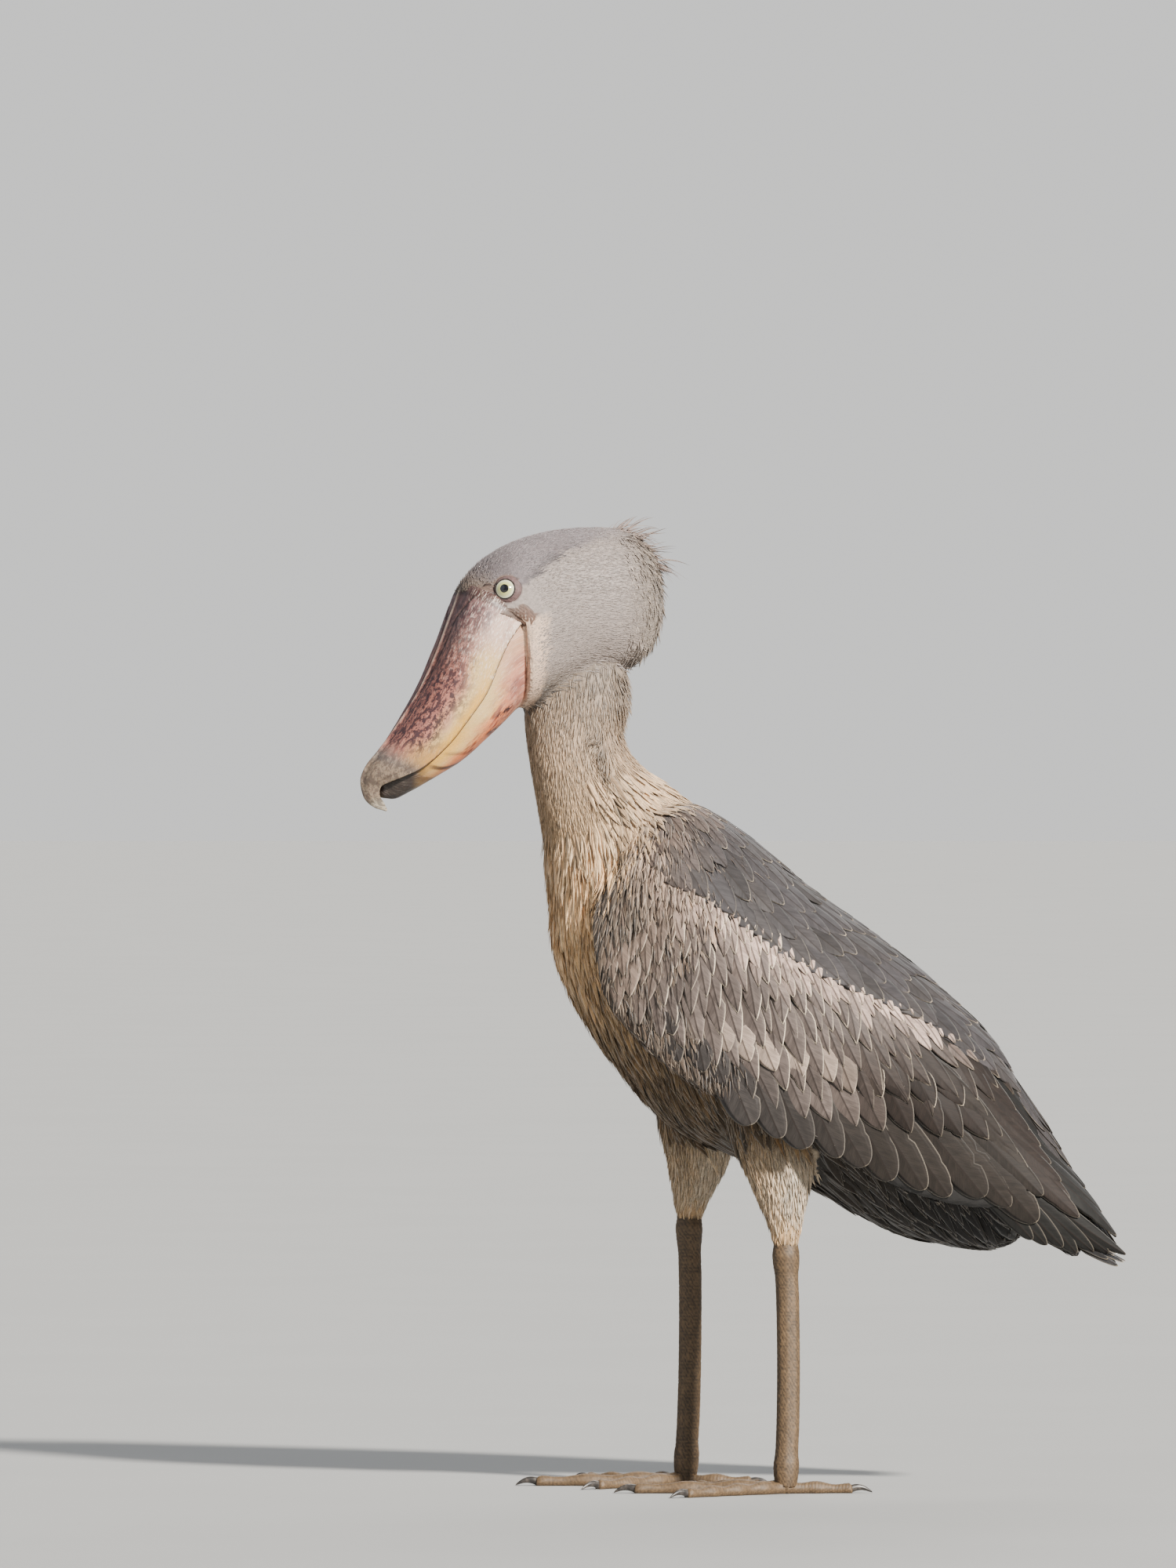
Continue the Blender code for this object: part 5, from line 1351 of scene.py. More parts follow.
plumage.update({
    "billPink": (200, 152, 136), "billPale": (216, 188, 168), "billMauve": (132, 102, 102),
    "billRose": (176, 116, 104), "billCream": (226, 194, 142), "billYellow": (222, 172, 92),
    "billTan": (190, 146, 98), "billBrown": (56, 38, 32), "billSalmon": (228, 144, 106),
    "hookGrey": (142, 130, 121), "hookTan": (166, 142, 116), "hookPale": (196, 184, 166),
    "billRed": (122, 50, 42), "hookDark": (62, 54, 48),
    "keelWhite": (232, 214, 194), "gular": (228, 200, 178),
    # a dark brown for the painted shade in the orbit's wrinkles, creases and sunk edge
    "orbit": (118, 100, 90), "orbitShade": (50, 38, 34), "lid": (110, 88, 86), "lidRim": (26, 20, 20),
    "gape": (120, 92, 78), "irisInner": (208, 208, 150), "irisOuter": (232, 234, 206), "pupil": (8, 7, 8),
})
upperBill, lowerBill = makeUpperBill(), makeLowerBill()
report(f"bill of {len(upperBill.data.polygons)} and {len(lowerBill.data.polygons)} faces")

# Eyes: a ball in each orbit, lids over it, and the bare wrinkled skin from the lids down to the bill.
eyeValues = {
    "centre": (-91, 36.5, 893), "radius": 15.9, "gaze": (math.radians(31), math.radians(11)),  # forward, up
    "socket": (math.radians(18), math.radians(14)), "iris": 9.3, "pupil": 4.2, "corneaRise": 1.1,
    "lidOver": 1.1, "rimAngle": math.radians(36.6), "creaseAngle": math.radians(56), "reach": math.radians(118),
    "around": 168, "outward": 84,
    # the bare patch's outline on the side of the head, (x, z) in the head's own frame
    "patch": [
        (-121, 896), (-106, 902.5), (-98, 908.5), (-86, 908), (-77, 900), (-76.5, 890), (-81, 883), (-76, 878),
        (-69, 871), (-71, 861), (-78, 858.5), (-84, 862.5), (-94, 867), (-107, 872.5), (-120, 885),
    ],
}


def eyeAxes(side, forward, up):  # the way an eye looks, and two directions across it, in the head's own frame
    sign = sides[side]
    level = np.array([-math.sin(forward), sign * math.cos(forward), 0.0])
    way = level * math.cos(up) + np.array([0, 0, math.sin(up)])
    aside = np.array([-level[1], level[0], 0.0])
    return way, aside, np.cross(aside, way)


def outsidePatch(x, z):  # mm outside the bare patch's outline, negative inside it
    corners = smoothRows(eyeValues["patch"] + eyeValues["patch"][:1], 4)
    here = np.stack([x, z], axis=-1)[..., None, :]
    a, b = corners[:-1], corners[1:]
    edge = b - a
    t = np.clip(np.sum((here - a) * edge, axis=-1) / np.sum(edge**2, axis=-1), 0, 1)
    gap = np.min(np.linalg.norm(here - a - edge * t[..., None], axis=-1), axis=-1)
    crossing = (a[:, 1] > here[..., 1]) != (b[:, 1] > here[..., 1])
    rise = np.where(np.abs(edge[:, 1]) < 1e-9, 1e-9, edge[:, 1])
    hit = here[..., 0] < a[:, 0] + edge[:, 0] * (here[..., 1] - a[:, 1]) / rise
    inside = np.sum(crossing & hit, axis=-1) % 2 == 1
    return np.where(inside, -gap, gap)


def makeOrbit(side, tree):  # lids and bare skin as a closed dome, with the colour of each point
    values = eyeValues
    centre = np.array(values["centre"]) * [1, sides[side], 1]
    way, aside, above = eyeAxes(side, *values["gaze"])
    socketWay = eyeAxes(side, *values["socket"])[0]
    turn = 2 * np.pi * np.arange(values["around"]) / values["around"]
    spoke = aside * np.cos(turn)[:, None] + above * np.sin(turn)[:, None]
    share = np.linspace(0, 1, values["outward"])
    angle = values["rimAngle"] + (values["reach"] - values["rimAngle"]) * share**1.25
    direction = way * np.cos(angle)[:, None, None] + spoke[None] * np.sin(angle)[:, None, None]
    reach = np.zeros(direction.shape[:2])
    spots = turned(centre + direction * 110)
    inward = turned(-direction) - turned(np.zeros(3))
    for i in range(len(angle)):
        for j in range(len(turn)):
            hit = tree.ray_cast(Vector(spots[i, j]), Vector(inward[i, j]))
            reach[i, j] = 110 - hit[3] if hit[0] is not None else 20
    for _ in range(3):
        reach = (np.roll(reach, 1, 1) + np.roll(reach, -1, 1) + 2 * reach) / 4
    fromSocket = np.arccos(np.clip(direction @ socketWay, -1, 1))
    lid = values["radius"] + values["lidOver"] + 0 * reach
    open_ = ease(fromSocket, values["creaseAngle"] - 0.13, values["creaseAngle"] + 0.22)
    surface = lid + (reach + 0.3 - lid) * open_
    crease = np.exp(-(((fromSocket - values["creaseAngle"]) / 0.05) ** 2))
    rim = np.exp(-(((angle - values["rimAngle"]) / 0.05) ** 2))[:, None]
    points = centre + direction * surface[..., None]
    out = outsidePatch(points[..., 0], points[..., 2])
    out = np.where(fromSocket < values["creaseAngle"], -5.0, out)
    x, z = points[..., 0], points[..., 2]
    gaze = angle[:, None] + 0 * reach
    # wrinkles: rings round the lids, and folds that run back and down below the eye
    slope = (x - values["centre"][0]) * 0.86 - (z - values["centre"][2]) * 0.5
    crossSlope = (x - values["centre"][0]) * 0.5 + (z - values["centre"][2]) * 0.86
    wobble = ripple(points, 9, 401)
    rings = np.sin(gaze * 62 + wobble * 1.3) * 0.16 * (1 - open_)
    folds = np.sin(crossSlope * 2.5 + wobble * 1.1 + slope * 0.12) * 0.4 * open_ * ease(-out, 0.3, 2.5)
    fine = ripple(points, 2.6, 402) * 0.12
    surface = surface + rings + folds + fine - 0.8 * crease - 1.6 * rim * (share[:, None] < 0.04)
    brow = np.exp(-(((z - (899.5 + (x + 112) * 0.15)) / 0.9) ** 2)) * ease(-x, 102, 106) * ease(x, -123, -117)
    surface = surface - 1.0 * brow
    surface = surface - ease(out, -0.6, 1.6) * 3.2
    surface = np.maximum(surface - 9 * ease(out, 3, 14), np.minimum(surface, values["radius"] + 0.6))
    surface[0] = values["radius"] - 1.5
    surface[1] = values["radius"] + 0.3
    points = centre + direction * surface[..., None]
    # painted shade: the wrinkles' troughs, the crease round the lids, the brow's groove and the patch's lower edge,
    # where it dips under the feathers, are darkened
    edgeShade = np.exp(-(((out - 0.4) / 0.9) ** 2)) * ease(-z, -886, -874)
    layers = ["orbit",
              ("gape", ease(x, -92, -76) * ease(-z, -886, -872) * 0.9),
              ("lid", 1 - open_),
              ("orbitShade", np.clip(-folds / 0.4, 0, 1) * 0.7),
              ("orbitShade", np.clip(-rings / 0.16, 0, 1) * 0.15 * (1 - open_)),
              ("orbitShade", np.clip(crease * 0.95 + brow + edgeShade, 0, 1)),
              ("lidRim", np.exp(-(((gaze - values["rimAngle"]) / 0.055) ** 2)))]
    tint = mixedColours(layers)
    made = closedLoft(f"orbit_{side}", turned(points))
    seen = out < 2.5
    return made, turned(points)[seen], tint[seen]


def makeEye(side):
    values = eyeValues
    centre = np.array(values["centre"]) * [1, sides[side], 1]
    way, aside, above = eyeAxes(side, *values["gaze"])
    turn = 2 * np.pi * np.arange(72) / 72
    spoke = aside * np.cos(turn)[:, None] + above * np.sin(turn)[:, None]
    angle = np.concatenate([np.linspace(0.012, 0.75, 46), np.linspace(0.8, 3.05, 30)])
    radius = values["radius"] + values["corneaRise"] * (np.cos(np.clip(angle / 0.66, 0, 1) * np.pi) + 1) / 2
    flatness = values["radius"] * np.sin(angle)
    grid = way * np.cos(angle)[:, None, None] + spoke[None] * np.sin(angle)[:, None, None]
    points = centre + grid * radius[:, None, None]
    made = closedLoft(f"eye_{side}", turned(points))
    out = flatness[:, None] + 0 * turn
    out = np.where(angle[:, None] > 1.5, 16.0, out)
    fibres = np.sin(turn * 41)[None] * 0.5 + np.sin(turn * 67 + 1.3)[None] * 0.5
    span = (out - values["pupil"]) / (values["iris"] - values["pupil"])
    layers = ["irisInner", ("irisOuter", ease(span, 0.35, 0.95)),
              ("hookTan", (0.10 + 0.07 * fibres) * ease(-span, -0.55, -0.05)),
              ("pupil", ease(-(out + 0.15 * fibres), -values["pupil"] - 0.2, -values["pupil"] + 0.2)),
              ("lidRim", ease(out, values["iris"] - 0.45, values["iris"] - 0.05))]
    tint = mixedColours(layers)
    near = nearestOf(turned(points).reshape(-1, 3), meshArrays(made)[0])
    paintPoints(made, tint.reshape(-1, 3)[near])
    return made


# Legs: a scaled shank from the ankle down to the foot, and four toes with cross plates above.
footValues = {
    # degrees from straight ahead, length, root radius, end radius, joints
    "toes": {"outer": (-36, 122, 7.4, 4.9, 4), "middle": (2, 150, 8.0, 5.2, 3), "inner": (38, 112, 7.4, 4.9, 3),
             "hind": (172, 66, 7.2, 5.0, 2)},
    "rootOut": -3, "toePoints": 40, "toeRings": 104, "axisShare": 0.8, "swell": 0.11, "plate": 3.4,
    "plateHeight": 0.42, "scale": 3.4, "scaleHeight": 0.5, "footTop": 15.84, "clawLength": 22,
}


def cells(u, v, size, seed):  # rounded scales on a flat plan: 0 in the gaps, 1 on top; and a number for each
    draw = np.random.default_rng(seed)
    jitter = draw.uniform(-0.3, 0.3, (257, 257, 2))
    rowHeight = size * 0.87
    row = np.floor(v / rowHeight).astype(int)
    best, second, mark = np.full(u.shape, 1e9), np.full(u.shape, 1e9), np.zeros(u.shape)
    for dr in (-1, 0, 1):
        r = row + dr
        shift = (r % 2) * 0.5
        column = np.floor(u / size - shift).astype(int)
        for dc in (-1, 0, 1):
            c = column + dc
            off = jitter[r % 257, c % 257]
            x = (c + shift + 0.5 + off[..., 0] * 0.6) * size
            y = (r + 0.5 + off[..., 1] * 0.6) * rowHeight
            gap = np.hypot(u - x, v - y)
            nearer = gap < best
            second = np.where(nearer, best, np.minimum(second, gap))
            mark = np.where(nearer, jitter[r % 257, (c * 7) % 257, 0], mark)
            best = np.where(nearer, gap, best)
    return ease((second - best) / size, 0.0, 0.45), mark


def makeShank(side):
    leg, values = legValues[side], footValues
    ankle = np.array([leg["ankle"][0], sides[side] * leg["ankleY"], leg["ankle"][1]])
    foot = np.array([leg["foot"][0], sides[side] * leg["foot"][1], values["footTop"]])
    fine = smoothRows(legValues["shank"], 12)
    share = np.linspace(fine[0, 0], fine[-1, 0], legValues["shankRings"])
    deep, wide = (np.interp(share, fine[:, 0], fine[:, k]) for k in (1, 2))
    angle = 2 * np.pi * np.arange(legValues["shankPoints"]) / legValues["shankPoints"]
    centre = ankle + (foot - ankle) * share[:, None]
    centre[:, 0] += 2.0 * np.sin(np.pi * np.clip(share, 0, 1))
    down = (share * np.linalg.norm(foot - ankle))[:, None] + 0 * angle
    around = angle * 10.5 + 0 * down
    period = 2 * np.pi * 10.5
    size = period / round(period / values["scale"])
    scale, mark = cells(around, down + 400, size, 21)
    back = ease(np.cos(angle), 0.3, 0.8)[None]  # a tendon stands out down the back
    tendon = 1.1 * back * ease(share, 0.06, 0.2)[:, None] * ease(-share, -0.92, -0.75)[:, None]
    push = values["scaleHeight"] * scale + tendon
    knobs = 0.9 * np.exp(-((share / 0.03) ** 2))[:, None] * np.abs(np.sin(angle))[None]
    reach = np.stack([np.cos(angle), np.sin(angle)], axis=-1)
    xy = reach[None] * (np.stack([deep, wide], axis=-1)[:, None] + (push + knobs)[..., None] - 0.3)
    points = np.stack([centre[:, None, 0] + xy[..., 0], centre[:, None, 1] + xy[..., 1],
                       centre[:, None, 2] + 0 * push], axis=-1)
    tone = (0.35 + 0.65 * scale) * (1 + 0.5 * mark)
    tone = tone * (1 + 0.1 * ripple(points, 22, 411))
    tint = linear("leg") * tone[..., None]
    return closedLoft(f"shank_{side}", points), points.reshape(-1, 3), tint.reshape(-1, 3), foot * [1, 1, 0]


def toeFrame(side, name):
    angle = math.radians(footValues["toes"][name][0]) * -sides[side]
    way = np.array([-math.cos(angle), math.sin(angle), 0.0])
    across = -sides[side] * np.array([math.sin(angle), math.cos(angle), 0.0])
    return way, across


def makeToe(side, name, foot):
    values = footValues
    degrees, length, rootRadius, endRadius, joints = values["toes"][name]
    way, across = toeFrame(side, name)
    t = np.linspace(0, 1, values["toeRings"])
    out = values["rootOut"] + (length - values["rootOut"]) * t
    joint = np.cos(2 * np.pi * joints * t)
    radius = (rootRadius + (endRadius - rootRadius) * t) * (1 + values["swell"] * joint)
    radius = radius * np.sqrt(np.clip(1 - ((t - 0.955) / 0.062).clip(0) ** 2, 0.05, 1))
    angle = 2 * np.pi * (np.arange(values["toePoints"]) + 0.5) / values["toePoints"]
    upShare = ease(np.sin(angle), -0.15, 0.35)[None]
    saw = (out[:, None] + 0.7 * np.abs(np.cos(angle))[None] * values["plate"]) / values["plate"]
    step = saw - np.floor(saw)
    plate = (1 - step) ** 0.6 * ease(step, 0.0, 0.16)
    scale, mark = cells(angle[None] * 6.0 + 0 * out[:, None], out[:, None] + 300 + 0 * angle, 2.9, 31)
    push = values["plateHeight"] * plate * upShare + 0.3 * scale * (1 - upShare)
    pads = 0.9 * np.clip(joint, 0, 1)[:, None] * (1 - upShare)
    reach = radius[:, None] + push + pads - 0.2
    aside = reach * np.cos(angle)[None]
    up = np.maximum(radius[:, None] * values["axisShare"] + reach * np.sin(angle)[None], 0.0)
    bow = 1.6 * np.sin(np.pi * t) * (1 if name in ("outer", "middle") else -1)
    points = (foot + way * out[:, None, None] + across * (aside + bow[:, None])[..., None]
              + np.array([0, 0, 1.0]) * up[..., None])
    tone = 0.55 + 0.45 * (plate * upShare + scale * (1 - upShare))
    tone = tone * (1 + 0.3 * mark * (1 - upShare) + 0.12 * np.sin(np.floor(saw) * 2.4) * upShare)
    # painted shade: each toe's underside is darker than its top, 0.83 against 1.08
    tone = tone * (1.08 - 0.25 * ease(-np.sin(angle), 0.2, 0.9)[None])
    tint = linear("leg") * tone[..., None]
    return closedLoft(f"toe_{side}_{name}", points), points.reshape(-1, 3), tint.reshape(-1, 3)


def makeClaw(side, name, foot):
    values = footValues
    length, endRadius = values["toes"][name][1], values["toes"][name][3]
    way, across = toeFrame(side, name)
    t = np.linspace(-0.12, 1, 34)
    size = endRadius * 0.74 * (1 - np.clip(t, 0, 1)) ** 0.62 + 0.35
    start = endRadius * values["axisShare"]
    rise = 2.4 * np.sin(np.pi * np.clip(t, 0, 1)) - (start - 0.9) * np.clip(t, 0, 1) ** 2
    out = length + values["clawLength"] * t - 1.5
    angle = 2 * np.pi * (np.arange(28) + 0.5) / 28
    c, s = superOval(angle, 1.8)
    ridge = 0.12 * np.cos(angle * 9)[None] * size[:, None] / endRadius
    points = (foot + way * out[:, None, None] + across * ((size[:, None] + ridge) * 0.72 * c[None])[..., None]
              + np.array([0, 0, 1.0]) * (start + rise[:, None] + (size[:, None] + ridge) * s[None])[..., None])
    points[..., 2] = np.maximum(points[..., 2], 0.0)
    made = closedLoft(f"claw_{side}_{name}", points)
    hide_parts(f"claw_{side}_{name}")
    return made


def makeSkin():  # the hide, the orbits, the shanks and the toes as one closed surface
    own = turnedBack(survey["places"])
    strip = ease(-own[:, 0], 52, 60) * ease(-own[:, 2], -872, -864) * (survey["zone"] == 1)
    # painted shade: the hide under the coat is darkened to 0.6, so the gaps between feathers look shaded; a strip
    # behind the lower bill takes the pale gular colour
    under = blended(survey["colour"] * 0.6, linear("gular"), strip)
    shapes = [(hide, survey["places"], under)]
    shape = bmesh.new()
    for thing in (hide, upperBill, lowerBill):
        shape.from_mesh(thing.data)
    bmesh.ops.scale(shape, vec=(1000, 1000, 1000), verts=shape.verts)
    outerTree = BVHTree.FromBMesh(shape)
    shape.free()
    for side in sides:
        shapes.append(makeOrbit(side, outerTree))
        made, points, tint, foot = makeShank(side)
        shapes.append((made, points, tint))
        for name in footValues["toes"]:
            shapes.append(makeToe(side, name, foot))
            claws.append(makeClaw(side, name, foot))
    guides = np.concatenate([points for _, points, _ in shapes])
    tints = np.concatenate([tint for _, _, tint in shapes])
    for made, _, _ in shapes[1:]:
        applyModifier(hide, "BOOLEAN", object=made, operation="UNION", solver="MANIFOLD")
        bpy.data.objects.remove(made)
    hide.data.materials.clear()
    hide.data.polygons.foreach_set("material_index", np.zeros(len(hide.data.polygons), np.int32))
    paintPoints(hide, tints[nearestOf(guides, meshArrays(hide)[0])])
    hide.name = "skin"


makeCoat()
claws = []
makeSkin()
eyes = {side: makeEye(side) for side in sides}
report(f"skin of {len(hide.data.polygons)} faces")


# Materials. Shared effects are node groups that put out colours, masks and heights only.
class Patch:  # a short way to add and join shader nodes
    def __init__(self, tree):
        self.tree = tree

    def feed(self, made, inputs):  # join or set a node's inputs
        for name, value in inputs.items():
            if isinstance(value, bpy.types.NodeSocket):
                self.tree.links.new(value, made.inputs[name])
            else:
                made.inputs[name].default_value = value
        return made

    def node(self, kind, inputs=None, **settings):
        made = self.tree.nodes.new(kind)
        for name, value in settings.items():
            setattr(made, name, value)
        return self.feed(made, inputs or {})

    def math(self, operation, a, b=0.0, c=None):
        return self.node("ShaderNodeMath", {0: a, 1: b} if c is None else {0: a, 1: b, 2: c},
                         operation=operation).outputs[0]

    def times(self, a, b):
        return self.math("MULTIPLY", a, b)

    def band(self, value, low, high, first=0.0, last=1.0):  # a soft step
        return self.node("ShaderNodeMapRange", {"Value": value, "From Min": low, "From Max": high, "To Min": first,
                                                "To Max": last}, interpolation_type="SMOOTHSTEP").outputs["Result"]

    def mix(self, share, first, second, blend="MIX"):
        first, second = (part if isinstance(part, bpy.types.NodeSocket) else (*part[:3], 1.0)
                         for part in (first, second))
        return self.node("ShaderNodeMix", {0: share, 6: first, 7: second}, data_type="RGBA",
                         blend_type=blend).outputs[2]

    def shaded(self, colour, value):  # a colour times a plain value
        return self.mix(1.0, colour, self.join(value, value, value), "MULTIPLY")

    def noise(self, vector, scale=1.0, detail=2.0, roughness=0.5):
        return self.node("ShaderNodeTexNoise", {"Vector": vector, "Scale": scale, "Detail": detail,
                                                "Roughness": roughness}).outputs["Fac"]

    def split(self, vector):
        return self.node("ShaderNodeSeparateXYZ", {0: vector}).outputs

    def join(self, x, y, z=0.0):
        return self.node("ShaderNodeCombineXYZ", {0: x, 1: y, 2: z}).outputs[0]

    def where(self):
        return self.node("ShaderNodeTexCoord").outputs["Object"]

    def attribute(self, name, output):
        return self.node("ShaderNodeAttribute", attribute_name=name).outputs[output]

    def uv(self, name):
        return self.node("ShaderNodeUVMap", uv_map=name).outputs["UV"]

    def bump(self, strength, distance, height):
        return self.node("ShaderNodeBump", {"Strength": strength, "Distance": distance, "Height": height}).outputs[0]


def newGroup(name, inputs, outputs):
    group = bpy.data.node_groups.new(name, "ShaderNodeTree")
    for title, kind, value in inputs:
        socket = group.interface.new_socket(title, in_out="INPUT", socket_type="NodeSocket" + kind)
        if value is not None:
            socket.default_value = value
    for title, kind in outputs:
        group.interface.new_socket(title, in_out="OUTPUT", socket_type="NodeSocket" + kind)
    patch = Patch(group)
    return patch, patch.node("NodeGroupInput").outputs, patch.node("NodeGroupOutput")


def makeFeatherGroup():
    # Tint is the vane's own colour, Facts its distance to the rim, fringe strength and luck, Flat its place in mm
    patch, given, result = newGroup("featherPattern", [
        ("Tint", "Color", None), ("Facts", "Vector", None), ("Flat", "Vector", None),
        ("Fringe Colour", "Color", (0.6, 0.5, 0.4, 1)), ("Fringe Width", "Float", 1.4), ("Shaft Width", "Float", 0.4),
        ("Shaft Strength", "Float", 0.5), ("Streak", "Float", 0.3), ("Mottle", "Float", 0.2),
        ("Barb Width", "Float", 0.9),
    ], [("Color", "Color"), ("Height", "Float"), ("Fringe", "Float")])
    rim, strength, luck = patch.split(given["Facts"])
    x, y, _ = patch.split(given["Flat"])
    side = patch.math("ABSOLUTE", x)
    shift = patch.times(luck, 91.0)
    slant = patch.math("SUBTRACT", y, patch.times(side, 1.1))
    fine = patch.math("DIVIDE", slant, given["Barb Width"])
    barbs = patch.noise(patch.join(fine, patch.times(side, 0.12), shift), 1.0, 3.0, 0.6)
    broad = patch.noise(patch.join(patch.times(slant, 0.16), patch.times(x, 0.1), shift), 1.0, 2.0)
    streak = patch.math("MULTIPLY_ADD", patch.band(barbs, 0.3, 0.7, -1.0, 1.0), given["Streak"], 1.0)
    mottle = patch.math("MULTIPLY_ADD", patch.band(broad, 0.3, 0.7, -1.0, 1.0), given["Mottle"], 1.0)
    plain = patch.shaded(given["Tint"], patch.times(streak, mottle))
    shaftMask = patch.band(side, given["Shaft Width"], patch.times(given["Shaft Width"], 3.0), 1.0, 0.0)
    shafted = patch.mix(patch.times(shaftMask, given["Shaft Strength"]), plain, linear("shaft"))
    width = patch.times(given["Fringe Width"], patch.math("MULTIPLY_ADD", barbs, 1.2, 0.3))
    fringe = patch.times(patch.band(rim, patch.times(width, 0.45), width, 1.0, 0.0), strength)
    patch.feed(result, {
        "Color": patch.mix(fringe, shafted, given["Fringe Colour"]),
        "Height": patch.math("ADD", barbs, patch.times(shaftMask, 0.5)), "Fringe": fringe,
    })
    return patch.tree


featherGroup = makeFeatherGroup()
featherLooks = {
    "vanes": {"Fringe Width": 1.5, "Shaft Width": 0.4, "Shaft Strength": 0.7, "Streak": 0.22, "Mottle": 0.2,
              "Barb Width": 0.8, "roughness": 0.62, "sheen": 0.08, "bump": 0.3, "specular": 0.22},
    "down": {"Fringe Width": 0.9, "Shaft Width": 0.25, "Shaft Strength": 0.35, "Streak": 0.26, "Mottle": 0.16,
             "Barb Width": 0.7, "roughness": 0.72, "sheen": 0.25, "bump": 0.35, "specular": 0.25},
}


def newMaterial(name):
    made = bpy.data.materials.new(name)
    made.use_nodes = True
    return made, Patch(made.node_tree), made.node_tree.nodes["Principled BSDF"]


def featherMaterial(name, look):
    made, patch, shader = newMaterial(name)
    pattern = patch.node("ShaderNodeGroup", {
        "Tint": patch.attribute("tint", "Color"), "Facts": patch.attribute("vaneFacts", "Vector"),
        "Flat": patch.uv("vane"), "Fringe Colour": (*linear("fringe"), 1),
        **{key: value for key, value in look.items() if key[0].isupper()},
    }, node_tree=featherGroup)
    patch.feed(shader, {
        "Base Color": pattern.outputs["Color"], "Normal": patch.bump(look["bump"], 0.0004, pattern.outputs["Height"]),
        "Roughness": look["roughness"], "Specular IOR Level": look["specular"], "Sheen Weight": look["sheen"],
        "Sheen Roughness": 0.5,
    })
    return made


def skinMaterial():
    made, patch, shader = newMaterial("bareSkin")
    tint = patch.attribute("tint", "Color")
    grain = patch.noise(patch.where(), 320.0, 3.0)
    patch.feed(shader, {"Base Color": patch.shaded(tint, patch.band(grain, 0.25, 0.75, 0.75, 1.15)),
                        "Normal": patch.bump(0.4, 0.0004, grain), "Roughness": 0.62})
    return made


def makeBillGroup():
    # Zones hold how much dark mottle, pale streak and rose the horn has at a place; Flat is the place in mm
    patch, given, result = newGroup("hornPattern", [
        ("Tint", "Color", None), ("Zones", "Vector", None), ("Flat", "Vector", None),
        ("Dark", "Color", (0.022, 0.012, 0.018, 1)), ("Pale", "Color", (0.72, 0.60, 0.52, 1)),
        ("Rose", "Color", (0.22, 0.08, 0.066, 1)),
    ], [("Color", "Color"), ("Height", "Float")])
    u, v, _ = patch.split(given["Flat"])
    dark, pale, rose = patch.split(given["Zones"])

    def streaks(across, along, shift, detail=4.0):
        return patch.noise(patch.join(patch.times(u, across), patch.times(v, along), shift), 1.0, detail, 0.62)

    blots, drops = streaks(0.19, 0.115, 3.0), streaks(0.5, 0.28, 9.0, 3.0)
    strands, fine = streaks(0.8, 0.13, 5.0), streaks(1.6, 0.4, 7.0, 3.0)
    blush = streaks(0.16, 0.06, 11.0)
    colour = patch.mix(patch.times(patch.band(blush, 0.42, 0.62), rose), given["Tint"], given["Rose"])
    colour = patch.mix(patch.times(patch.band(strands, 0.5, 0.66, 0.0, 0.75), pale), colour, given["Pale"])
    darkness = patch.math("MAXIMUM", patch.band(blots, 0.46, 0.56, 0.0, 0.88),
                          patch.band(drops, 0.52, 0.61, 0.0, 0.9))
    colour = patch.mix(patch.times(darkness, dark), colour, given["Dark"])
    patch.feed(result, {"Color": patch.shaded(colour, patch.band(fine, 0.25, 0.75, 0.8, 1.12)),
                        "Height": patch.math("ADD", fine, strands)})
    return patch.tree


def billMaterial():
    made, patch, shader = newMaterial("billHorn")
    pattern = patch.node("ShaderNodeGroup", {
        "Tint": patch.attribute("tint", "Color"), "Zones": patch.attribute("zones", "Vector"),
        "Flat": patch.uv("flat"),
    }, node_tree=makeBillGroup())
    patch.feed(shader, {
        "Base Color": pattern.outputs["Color"], "Normal": patch.bump(0.35, 0.0005, pattern.outputs["Height"]),
        "Roughness": 0.42, "Specular IOR Level": 0.45, "Subsurface Weight": 0.06, "Subsurface Scale": 0.004,
    })
    return made


def eyeMaterial():
    made, patch, shader = newMaterial("wetEye")
    patch.feed(shader, {"Base Color": patch.attribute("tint", "Color"), "Roughness": 0.18, "Coat Weight": 1.0,
                        "Coat Roughness": 0.03})
    return made


def clawMaterial():
    made, patch, shader = newMaterial("clawHorn")
    grain = patch.noise(patch.where(), 260.0, 4.0)
    colour = patch.mix(patch.band(grain, 0.4, 0.75, 0.0, 0.6), (0.022, 0.019, 0.017), (0.12, 0.10, 0.085))
    patch.feed(shader, {"Base Color": colour, "Roughness": 0.38})
    return made


def finishCoat():
    looks = {name: featherMaterial(name, look) for name, look in featherLooks.items()}
    for piece, slotName, look in coat:
        piece.data.materials.append(looks[look])
        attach(piece, bodyName)


finishCoat()


def finishBody():
    toeNodes = [f"toe_{side}_{name}" for side in sides for name in footValues["toes"]]
    hide.data.materials.append(skinMaterial())
    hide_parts("head", "neck", "torso", "tail", "wing_left", "wing_right", "thigh_left", "thigh_right",
                "shank_left", "shank_right", *toeNodes)
    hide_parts("bill_upper")
    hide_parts("bill_lower")
    horn, wet, claw = billMaterial(), eyeMaterial(), clawMaterial()
    for side, ball in eyes.items():
        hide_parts(f"eye_{side}")
        ball.data.materials.append(wet)
    for piece in (upperBill, lowerBill):
        piece.data.materials.append(horn)
    for piece in claws:
        piece.data.materials.append(claw)
    slots = [(hide, "leg_skin"), (upperBill, "bill_horn"), (lowerBill, "bill_horn")]
    slots += [(ball, "eye") for ball in eyes.values()] + [(piece, "claw_horn") for piece in claws]
    for piece, slotName in slots:
        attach(piece, bodyName)


finishBody()

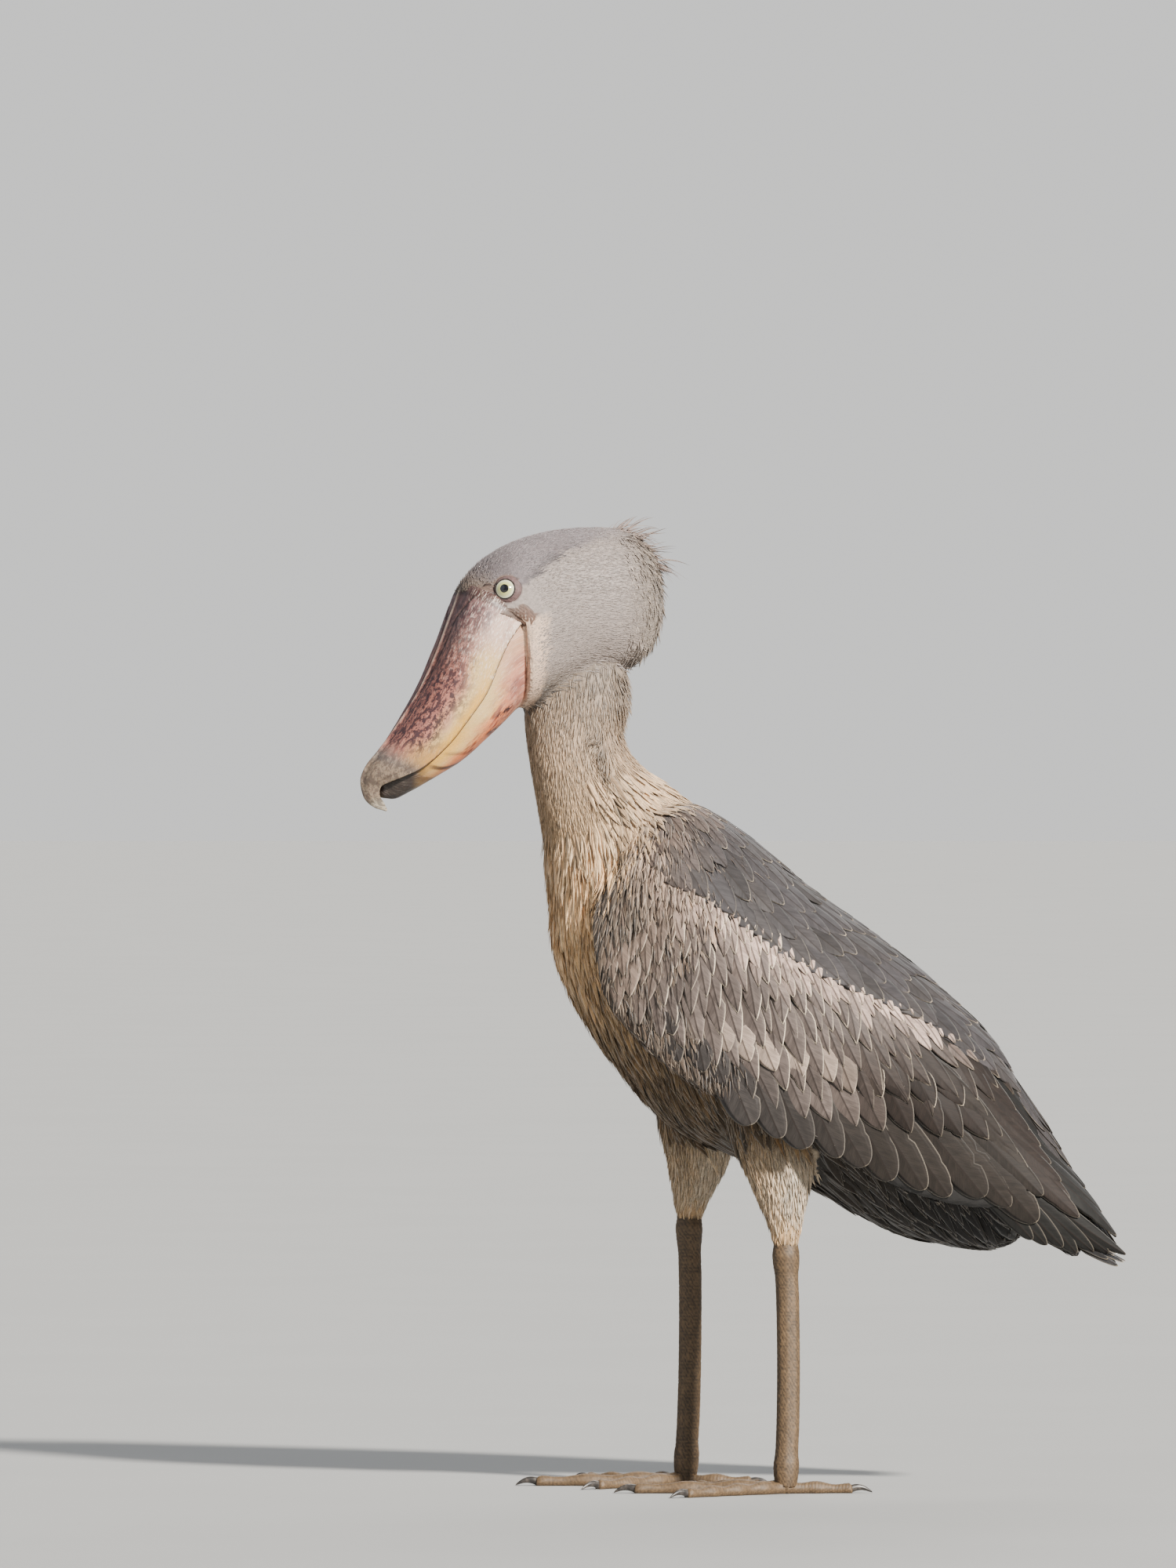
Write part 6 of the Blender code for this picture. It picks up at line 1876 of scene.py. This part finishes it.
# Floor, light and camera.
stageValues = {
    "floorReach": 60, "floor": (0.33, 0.33, 0.32), "camera": (-0.156, -14.0, 0.7956), "pitch": -0.383,
    "lens": 36 * 14.0 / 1.56, "sensor": 36,
    "key": {"from": (0.70, -0.90, 0.72), "strength": 11.6, "softness": 5, "colour": (1.0, 0.955, 0.89)},
    "fill": {"from": (-0.9, -0.6, 0.5), "strength": 0.4, "softness": 60, "colour": (0.86, 0.93, 1.0)},
    "rim": {"from": (0.2, 1.0, 0.75), "strength": 1.5, "softness": 40, "colour": (1.0, 0.98, 0.95)},
    "sky": (0.80, 0.88, 1.0), "skyStrength": 0.31, "backdrop": (0.90, 0.90, 0.89),
}


def makeFloor():
    deselectAll()
    bpy.ops.mesh.primitive_plane_add(size=2 * stageValues["floorReach"], location=(0, 0, 0))
    floor = bpy.context.active_object
    floor.name = "floor"
    made, patch, shader = newMaterial("paleFloor")
    tone = patch.band(patch.noise(patch.where(), 3.0, 4.0), 0.3, 0.7, 0.97, 1.0)
    patch.feed(shader, {"Base Color": patch.shaded(stageValues["floor"], tone), "Roughness": 0.8})
    floor.data.materials.append(made)


def makeLights():
    for name in ("key", "fill", "rim"):
        values = stageValues[name]
        bpy.ops.object.light_add(type="SUN", location=[4 * part for part in values["from"]])
        lamp = bpy.context.active_object
        lamp.name = name
        lamp.data.energy = values["strength"]
        lamp.data.angle = math.radians(values["softness"])
        lamp.data.color = values["colour"]
        lamp.rotation_euler = Vector([-part for part in values["from"]]).to_track_quat("-Z", "Y").to_euler()
    world = bpy.data.worlds.new("studio")
    world.use_nodes = True
    patch = Patch(world.node_tree)
    light = world.node_tree.nodes["Background"]
    light.inputs[0].default_value = (*stageValues["sky"], 1)
    light.inputs[1].default_value = stageValues["skyStrength"]
    seen = patch.node("ShaderNodeBackground", {0: (*stageValues["backdrop"], 1), 1: 1.0})
    camera = patch.node("ShaderNodeLightPath").outputs["Is Camera Ray"]
    both = patch.node("ShaderNodeMixShader", {0: camera, 1: light.outputs[0], 2: seen.outputs[0]})
    patch.tree.links.new(both.outputs[0], world.node_tree.nodes["World Output"].inputs[0])
    bpy.context.scene.world = world


def makeCamera():
    pitch = math.radians(90 + stageValues["pitch"])
    bpy.ops.object.camera_add(location=stageValues["camera"], rotation=(pitch, 0, 0))
    camera = bpy.context.active_object
    camera.data.lens = stageValues["lens"]
    camera.data.sensor_width = stageValues["sensor"]
    camera.data.clip_end = 100
    bpy.context.scene.camera = camera


makeFloor()
makeLights()
makeCamera()


def writeSizes():
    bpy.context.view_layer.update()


writeSizes()
report("finished")
